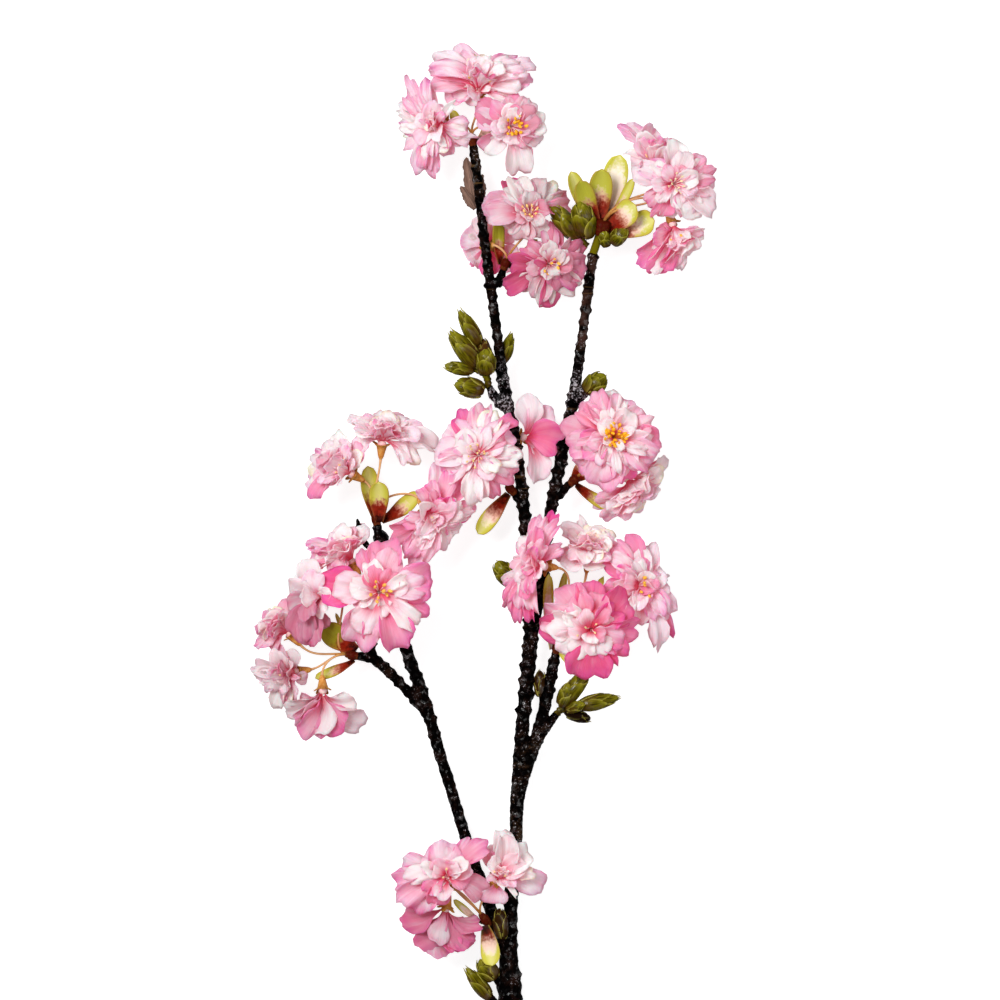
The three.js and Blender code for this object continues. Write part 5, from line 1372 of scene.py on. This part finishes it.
# How pink, how tinted its rim, how white outwards, how far its coral foot reaches, and how much painted shade
# darkens it; the grey, mauve and dusky tints are mostly pink or white petals darkened by that painted shade.
tints = {
    "pink": (0.46, 0.4, 0.15, 0.5, 0.0), "pale": (0.24, 0.35, 0.4, 0.5, 0.0),
    "blush": (0.25, 0.2, 0.6, 0.75, 0.0), "white": (0.06, 0.1, 0.85, 0.5, 0.0),
    "silverShaded": (0.12, 0.2, 0.5, 0.3, 0.14), "lilac": (0.22, 0.6, 0.3, 0.25, 0.02),
    "rimmed": (0.34, 0.8, 0.25, 0.3, 0.0), "magenta": (0.45, 1.0, 0.25, 0.1, 0.0),
    "deep": (0.62, 0.7, 0.0, 0.35, 0.05), "hot": (0.75, 0.85, 0.0, 0.4, 0.0),
    "coral": (0.5, 0.1, 0.2, 0.95, 0.0), "coralShaded": (0.5, 0.0, 0.25, 1.0, 0.3),
    "mauveShaded": (0.45, 0.3, 0.1, 0.2, 0.26), "rose": (0.6, 0.75, 0.0, 0.2, 0.3),
    "buff": (0.12, 0.02, 0.6, 0.35, 0.18), "tan": (0.2, 0.0, 0.6, 0.6, 0.3),
    "cream": (0.05, 0.0, 1.0, 0.2, 0.0), "dusk": (0.5, 0.35, 0.0, 0.1, 0.6),
    "tanRose": (0.28, 0.75, 0.25, 0.05, 0.25), "vivid": (0.85, 0.85, 0.0, 0.35, 0.16),
}
# Blooms that are pinker than the rest, and blooms darkened with more painted shade where they lie in shade,
# by how much of each of those five.
pinkerAndShadedBlooms = {
    "g4": (0.06, 0, -0.02, 0.2, 0.08), "b2": (0.14, 0, -0.05, 0.3, 0.42), "k2": (-0.05, 0.1, 0, 0, 0.28),
    "g1": (0.12, 0, -0.1, 0, 0), "f1": (0.08, 0, -0.05, 0.1, 0), "l1": (0.1, 0, -0.05, 0.1, 0),
    "i3": (0.02, 0, 0, 0, 0.02), "i2": (-0.18, 0, 0.2, -0.1, 0), "i1": (-0.12, 0, 0.1, 0, 0),
    "f2": (-0.12, 0, 0.15, 0.1, 0.06), "k3": (0.02, 0, 0, 0.15, 0.06), "e1": (-0.04, 0, 0.05, 0, 0),
    "j4": (-0.05, 0, 0.05, 0.1, 0.24), "j5": (-0.15, 0, 0.1, 0.15, 0.32), "j6": (-0.12, 0.1, 0.1, 0, 0.34),
    "b1": (0.04, -0.05, 0, 0.3, 0.36), "g2": (-0.22, -0.1, 0.3, -0.15, 0),
    "g3": (0.08, 0.1, -0.05, 0.1, 0), "a2": (-0.05, 0, 0.05, 0, 0), "c3": (0.1, 0, 0, 0, 0),
    "b3": (0, 0, 0, 0, 0.12), "a3": (0, 0, -0.1, 0.15, 0.12), "k1": (0.06, 0, -0.1, 0.1, 0.1),
    "j3": (-0.08, 0, 0.1, 0, 0.04), "a1": (-0.12, 0, 0.15, 0, 0), "c1": (-0.08, 0, 0.1, 0, 0),
}
# Blooms whose petals are narrower and have a sister each.
frillyBlooms = {
    "a2": 0.7, "g1": 0.68, "j5": 0.72, "e1": 0.88, "i3": 0.8, "i1": 0.82, "b2": 0.82, "f1": 0.95,
    "c2": 0.82, "g3": 0.85, "g2": 0.82, "l2": 0.8, "j4": 0.78, "a1": 0.82, "i2": 0.85, "f2": 0.85,
    "c3": 0.85, "a3": 0.88, "b1": 0.85,
}
sister = {
    "aside": (9, 20), "length": (0.8, 0.97), "half": 0.85, "rise": 0.6, "mesh": (10, 11),
    "tints": ["blush", "pale", "rimmed", "white", "lilac"],
}
# Blooms with rounder petals than the rest, by how far a petal's shoulder falls off.
roundBlooms = {
    "l1": 0.28, "m1": 0.26, "c2": 0.36, "g4": 0.26, "k1": 0.34, "f1": 0.4, "j3": 0.36, "b3": 0.3, "k2": 0.3,
}
petal = {
    "thick": 0.18, "offWood": 1.1, "startRadius": 1.1, "layerRise": 0.3,
    "meshFromHalf": [(5.2, 13, 17), (3.4, 11, 12), (0, 10, 9)],  # from this half width on: points each way
    "meshBehind": (9, 9),
    "fan": 42, "plumpFrom": 0.36, "shoulder": 0.46, "claw": 0.8,
    "bend": (34, 74), "cup": (0.1, 0.42), "twist": 12, "sway": 0.12, "faceEye": 40, "flatEnough": 0.9,
    "notch": 0.06, "frill": 0.016, "jag": 0.018, "ruffle": 0.07, "wave": 0.05, "crumple": 0.4, "pleat": 0.06,
    "groove": 0.035, "roll": 0.4, "crumples": 3,
    "ownTint": (0.12, 0.2, 0.12),
}
# Blooms that face sideways, by how little their axis rises off the floor.
sideways = {
    "forwardBelow": 0.62, "forward": 1.45,  # its near petals stand this much nearer the eye
    "behindBelow": 0.45, "behindFrom": 4, "behindFar": (0.8, 1),  # its near petals have a likeness behind it
}


def petalGrid(frame, p, draw):
    # The middle surface of a petal: a fan from its foot, on a rib that bends away from the bloom's axis.
    seat, side, up, axis = frame
    rows, cols = p["mesh"]
    t = np.linspace(0, 1, rows)[:, None]
    u = np.linspace(-1, 1, cols)[None, :]
    q = np.abs(u)
    length, half, rough, shoulder = p["length"], p["half"], p["rough"], p["shoulder"]
    phase = draw.uniform(0, 2 * math.pi, 12)
    notch = petal["notch"] * draw.uniform(0, 2) * np.exp(-((u - draw.uniform(-0.4, 0.4)) / 0.16) ** 2)
    frill = np.sin(u * 6.5 + phase[0]) + 0.5 * np.sin(u * 10 + phase[9])
    plump = min(1, half / length / petal["plumpFrom"])
    fan = math.radians(petal["fan"]) * (0.35 + 0.65 * plump)
    shoulder *= 0.4 + 0.6 * plump
    reach = (1 - shoulder * q ** 2.6) * (1 - notch) + petal["frill"] * rough * frill
    reach = reach + draw.uniform(-1, 1, cols) * petal["jag"]
    y = t * reach * np.cos(u * fan)
    widest = np.max((1 - shoulder * q ** 2.6) * np.sin(q * fan))
    x = half / widest * t * reach * np.sin(u * fan) * (0.5 + 0.5 * ease(0, 0.5, y))
    x = x + petal["claw"] * u * (1 - t)
    s = np.linspace(0, 1.15, 80)
    angle = p["root"] + (p["tip"] - p["root"]) * s
    step = length * (s[1] - s[0])
    outward = np.interp(y, s, np.cumsum(np.sin(angle)) * step)
    rise = np.interp(y, s, np.cumsum(np.cos(angle)) * step)
    lean = np.interp(y, s, angle)
    out = side * math.cos(p["azimuth"]) + up * math.sin(p["azimuth"])
    across = side * math.sin(p["azimuth"]) - up * math.cos(p["azimuth"])
    upper = -out * np.cos(lean)[..., None] + axis * np.sin(lean)[..., None]
    twist = p["twist"] * ease(0, 0.6, y)[..., None]
    broadside = across * np.cos(twist) + upper * np.sin(twist)
    face = upper * np.cos(twist) - across * np.sin(twist)
    share = x / half
    lift = half * p["cup"] * share ** 2 * (1.1 - 0.4 * y)
    edgePhase = np.where(u < 0, phase[1], phase[2])
    lift = lift + length * petal["ruffle"] * rough * t ** 2 * q ** 1.5 * np.sin(7 * t + edgePhase)
    waves = np.sin(u * 4.6 + phase[3]) + 0.5 * np.sin(u * 9 + phase[9])
    lift = lift + length * petal["wave"] * rough * t ** 3 * waves
    lift = lift - petal["groove"] * length * np.exp(-(share / 0.15) ** 2) * y * (1 - 0.6 * y)
    pleats = np.abs(np.sin(u * 3.9 + phase[8])) + 0.5 * np.abs(np.sin(u * 7.3 + phase[10])) - 0.9
    lift = lift + petal["pleat"] * length * pleats * t * (1 - 0.45 * t) * min(rough, 1.4)
    rolled = np.clip(u * np.sign(math.sin(phase[11])), 0, 1) ** 3
    lift = lift + petal["roll"] * half * math.cos(phase[11]) * rolled * ease(0.2, 0.9, t)
    for k in range(petal["crumples"]):
        turn = phase[4 + k]
        wave = np.sin((x * math.cos(turn) + y * length * math.sin(turn)) * (0.6 + 0.35 * k) + phase[7 - k])
        lift = lift + petal["crumple"] * rough / (1 + k) * wave * t ** 1.5
    lift = lift * min(1, half / 5)
    sway = across * (p["sway"] * length * y ** 2)[..., None]
    grid = (seat + out * (petal["startRadius"] + outward)[..., None] + axis * (p["height"] + rise)[..., None]
            + broadside * x[..., None] + face * lift[..., None] + sway)
    return grid, np.stack(np.broadcast_arrays(u, t), axis=2)


def turnToEye(frame, azimuth, lean):
    # How far a petal that stands edge-on to the eye turns its face to it, as a soft cloth petal does.
    side, up, axis = frame[1:]
    out = side * math.cos(azimuth) + up * math.sin(azimuth)
    across = side * math.sin(azimuth) - up * math.cos(azimuth)
    upper = -out * math.cos(lean) + axis * math.sin(lean)
    if abs(upper[2]) > petal["flatEnough"]:
        return 0
    angle = math.atan2(-across[2] * np.sign(upper[2] or 1), abs(upper[2]))
    most = math.radians(petal["faceEye"])
    return max(-most, min(most, angle * 0.8))


def placedPetal(frame, toTip, half, layer, draw):
    # What the petal is, when its tip stands at toTip from the middle of the bloom.
    side, up, axis = frame[1:]
    height = petal["layerRise"] * layer
    far = toTip @ axis - height
    flat = toTip - axis * (toTip @ axis)
    out = max(np.linalg.norm(flat) - petal["startRadius"], 0.5)
    lean = math.atan2(out, far)
    bend = math.radians(draw.uniform(*petal["bend"])) * (0.7 + 0.5 * min(1, 12 / (half + 4)))
    chord = math.hypot(out, far)
    azimuth = math.atan2(flat @ up, flat @ side)
    mesh = next(row[1:] for row in petal["meshFromHalf"] if half >= row[0])
    return {
        "mesh": mesh, "azimuth": azimuth, "length": chord * (bend / 2) / math.sin(bend / 2), "half": half,
        "root": lean - bend / 2, "tip": lean + bend / 2, "height": height,
        "twist": math.radians(draw.uniform(-1, 1) * petal["twist"]) + turnToEye(frame, azimuth, lean),
        "cup": draw.uniform(*petal["cup"]),
        "rough": 0.8 + 0.5 * layer / 10 + (0.6 if half < 4 else 0),
        "sway": draw.uniform(-1, 1) * petal["sway"],
    }


def addPetal(shape, frame, p, tint, pinkerAndShaded, draw):
    grid, uv = petalGrid(frame, p, draw)
    grid = offTheFloor(clearOfWood(grid, petal["offWood"]))
    own = np.append(draw.uniform(-1, 1, 3) * petal["ownTint"], (0, 0))
    look = np.clip(np.array(tints[tint]) + own + pinkerAndShaded, 0, 1)
    shape.addSheet(grid, uv, (*look, draw.uniform()), petal["thick"])


stamen = {
    "length": 0.4, "spread": 34, "radius": 0.26, "taper": [1.3, 1.1, 1, 0.95, 0.9, 0.8], "startOut": 0.7,
    "startUp": 1.0, "bow": 0.12, "sides": 5,
    "headLength": 2.1, "headRadius": 0.7, "headShape": [0.35, 0.85, 1, 0.95, 0.8, 0.3], "headSides": 8,
    "lobe": 0.16, "amberAbove": 1.6,  # the stalk of a head longer than this is amber
}


def addStamens(shape, frame, size, count, warm, long, draw):
    seat, side, up, axis = frame
    for k in range(count):
        azimuth = k * 2.4 + draw.uniform(-0.3, 0.3)
        out = side * math.cos(azimuth) + up * math.sin(azimuth)
        lean = math.radians(stamen["spread"]) * math.sqrt((k + 0.5) / count) * draw.uniform(0.8, 1.15)
        way = unit(out * math.sin(lean) + axis * math.cos(lean))
        length = size * stamen["length"] * draw.uniform(0.75, 1.1)
        start = seat + out * stamen["startOut"] + axis * stamen["startUp"]
        bow = out * length * stamen["bow"]
        end = start + way * length
        leave, arrive = start + axis * length * 0.4, start + way * length * 0.75 - bow
        path = bezier(start, leave, arrive, end, len(stamen["taper"]))
        look = (1, float(long > stamen["amberAbove"]), 0, 0)
        shape.addTube(path, stamen["radius"] * np.array(stamen["taper"]), look, stamen["sides"], 1)
        tilt = unit(way + draw.uniform(-0.5, 0.5, 3))
        heights = np.linspace(-0.5, 0.5, len(stamen["headShape"]))[:, None]
        heights = heights * stamen["headLength"] * long * draw.uniform(0.8, 1.15)
        plump = stamen["headRadius"] * long ** 0.4 * (0.55 + 0.45 * warm)
        plump = plump * np.array(stamen["headShape"]) * draw.uniform(0.85, 1.15)
        sides = stamen["headSides"]
        lobes = 1 + stamen["lobe"] * np.cos(np.arange(sides) / sides * 4 * math.pi)
        shape.addTube(path[-1] + heights * tilt, plump[:, None] * lobes, (warm, 0, 1, 0), sides, 1)


# Stamens that show: how many, how orange, from cream to deep orange, and how long their heads are.
showing = {
    "f1": (24, 1.0, 1.7), "l1": (9, 0.85, 1.5), "b2": (9, 0.9, 1.1), "c2": (14, 0.1, 1), "a3": (14, 1.0, 1.3),
    "g3": (14, 0.95, 1.2), "b1": (12, 0.6, 1), "c3": (9, 0.9, 1), "e1": (16, 0.5, 0.9), "a1": (7, 0.7, 1),
    "k3": (6, 0.4, 1), "g4": (6, 0.3, 1), "j6": (0, 0, 1), "m1": (0, 0, 1), "j3": (0, 0, 1),
}
otherBlooms = {"showing": (5, 0.4, 1), "heart": "full"}
# Petals that fill a bloom: how many, their share of its petal length, half width in mm, lean off its axis in
# degrees, and tints. Where a bloom's heart is open to the eye there are few, and they lie low.
heartPetals = {
    "petals": 3, "length": (0.3, 0.4), "half": (1.6, 2.6), "lean": (48, 62), "tints": ["white", "blush"],
}
ringPetals = {
    "petals": 5, "length": (0.5, 0.66), "half": (4.2, 5.4), "lean": (62, 78),
    "tints": ["blush", "white", "pale"],
}
strayPetals = {
    "petals": 5, "length": (0.6, 0.85), "half": (1.6, 2.8), "lean": (40, 80),
    "tints": ["white", "pink", "pale"],
}
tuftPetals = {
    "petals": 5, "length": (0.36, 0.55), "half": (2.2, 3.6), "lean": (8, 34),
    "tints": ["blush", "white", "cream"],
}
crownPetals = {
    "petals": 7, "length": (0.6, 0.85), "half": (4.2, 6.2), "lean": (26, 68),
    "tints": ["blush", "pale", "white"],
}
fillings = {
    "none": [],
    "few": [{**heartPetals, "half": (1.8, 2.8)}, {**ringPetals, "petals": 4}],
    "open": [heartPetals, ringPetals, strayPetals],
    "full": [tuftPetals, crownPetals, strayPetals],
}
hearts = {
    "f1": "open", "g3": "open", "l1": "few", "c2": "few", "a3": "few", "b1": "few", "b2": "few",
    "g4": "few", "m1": "none", "j6": "none", "k2": "none", "j3": "few", "k1": "few", "e1": "few",
    "a1": "few",
}
core = {  # the middle that the petals grow from
    "profile": [(-1.0, 1.6), (-0.4, 2.3), (0.6, 2.2), (1.6, 1.5), (2.2, 0.5)],  # along its axis, and radius
    "sides": 12,
}


def makeBloom(name, seed):
    bloom = blooms[name]
    frame = bloomFrame(name)
    seat, side, up, axis = frame
    draw = np.random.RandomState(1000 + seed)
    shape = Shape()
    pinkerAndShaded = pinkerAndShadedBlooms.get(name, (0, 0, 0, 0, 0))
    shoulder = roundBlooms.get(name, petal["shoulder"])
    back = unit(np.array([0, 0, 1]) - axis * axis[2])  # towards the eye, square to the bloom's axis

    def lay(toTip, half, layer, tint, mesh=None):
        p = placedPetal(frame, toTip, half, layer, draw)
        p["shoulder"] = shoulder
        p["mesh"] = mesh or p["mesh"]
        addPetal(shape, frame, p, tint, pinkerAndShaded, draw)

    for layer, (px, py, rise, half, tint) in enumerate(petalsOf[name]):
        if axis[2] < sideways["forwardBelow"] and rise > 0:
            rise *= sideways["forward"]
        toTip = place(px, py, bloom["z"] + rise) - seat
        if name in frillyBlooms:
            half = half * frillyBlooms[name]
            aside = math.radians(draw.uniform(*sister["aside"])) * draw.choice((-1, 1))
            near = (toTip * math.cos(aside) + np.cross(axis, toTip) * math.sin(aside)
                    + axis * (axis @ toTip) * (1 - math.cos(aside)))
            near = near * draw.uniform(*sister["length"]) + axis * sister["rise"]
            itsTint = sister["tints"][draw.randint(len(sister["tints"]))]
            lay(near, half * sister["half"], layer, itsTint, sister["mesh"])
        lay(toTip, half, layer, tint)
        off = toTip @ back
        if axis[2] < sideways["behindBelow"] and off > sideways["behindFrom"]:
            likeness = toTip - back * 2 * off * draw.uniform(*sideways["behindFar"])
            lay(likeness, half, layer, tint, petal["meshBehind"])
    for kind in fillings[hearts.get(name, otherBlooms["heart"])]:
        for k in range(kind["petals"]):
            azimuth = math.radians(bloom["turn"] + k * 360 / kind["petals"] + draw.uniform(-15, 15))
            lean = math.radians(draw.uniform(*kind["lean"]) * (0.75 + 0.25 * bloom["open"]))
            far = bloom["petal"] * draw.uniform(*kind["length"])
            outward = side * math.cos(azimuth) + up * math.sin(azimuth)
            toTip = far * (axis * math.cos(lean) + math.sin(lean) * outward)
            half = draw.uniform(*kind["half"]) * bloom["petal"] / 25  # the widths are those of a 25 mm bloom
            lay(toTip, half, 5, kind["tints"][k % len(kind["tints"])])
    addStamens(shape, frame, bloom["petal"], *showing.get(name, otherBlooms["showing"]), draw)
    heights, radii = np.array(core["profile"]).T
    shape.addTube(seat + heights[:, None] * axis, radii, (1, 0, 0, 0), core["sides"], 1)
    shape.make("petals_" + name, [petalLook, stamenLook], ["bloom_" + name])


for seed, name in enumerate(blooms):
    makeBloom(name, seed)
print("blooms made")


studio = {
    "floorSize": 9000, "floorColour": "#b4b4b4", "floorGlow": 0.82, "sky": 0.36, "bounces": 3,
    "lamps": [
        {"name": "key", "at": (-900, 700, 1900), "size": 1100, "watts": 42},
        {"name": "fill", "at": (1200, -300, 1500), "size": 1300, "watts": 8},
    ],
}


def addFloor():
    half = studio["floorSize"] / 2
    mesh = bpy.data.meshes.new("floor")
    corners = ((-half, -half), (half, -half), (half, half), (-half, half))
    mesh.from_pydata([(x * mm, y * mm, 0) for x, y in corners], [], [(0, 1, 2, 3)])
    f = Finish("floor", roughness=0.8, specular=0.1)
    f.shader.inputs["Base Color"].default_value = colour(studio["floorColour"])
    f.shader.inputs["Emission Color"].default_value = (1, 1, 1, 1)
    f.shader.inputs["Emission Strength"].default_value = studio["floorGlow"]
    mesh.materials.append(f.material)
    floor = bpy.data.objects.new("floor", mesh)
    bpy.context.scene.collection.objects.link(floor)
    floor.visible_diffuse = floor.visible_glossy = False  # it glows, but doesn't light the petals from below


def addLamps():
    for lamp in studio["lamps"]:
        data = bpy.data.lights.new(lamp["name"], "AREA")
        data.shape, data.size, data.energy = "DISK", lamp["size"] * mm, lamp["watts"]
        light = bpy.data.objects.new(lamp["name"], data)
        light.location = Vector(lamp["at"]) * mm
        light.rotation_euler = (-light.location).to_track_quat("-Z", "Y").to_euler()
        bpy.context.scene.collection.objects.link(light)
    world = bpy.data.worlds.new("studio")
    world.use_nodes = True
    world.node_tree.nodes["Background"].inputs["Color"].default_value = (1, 1, 1, 1)
    world.node_tree.nodes["Background"].inputs["Strength"].default_value = studio["sky"]
    bpy.context.scene.world = world
    bpy.context.scene.view_settings.view_transform = "Standard"
    bpy.context.scene.cycles.diffuse_bounces = studio["bounces"]  # one fewer than usual


addFloor()
addLamps()
print("studio ready")
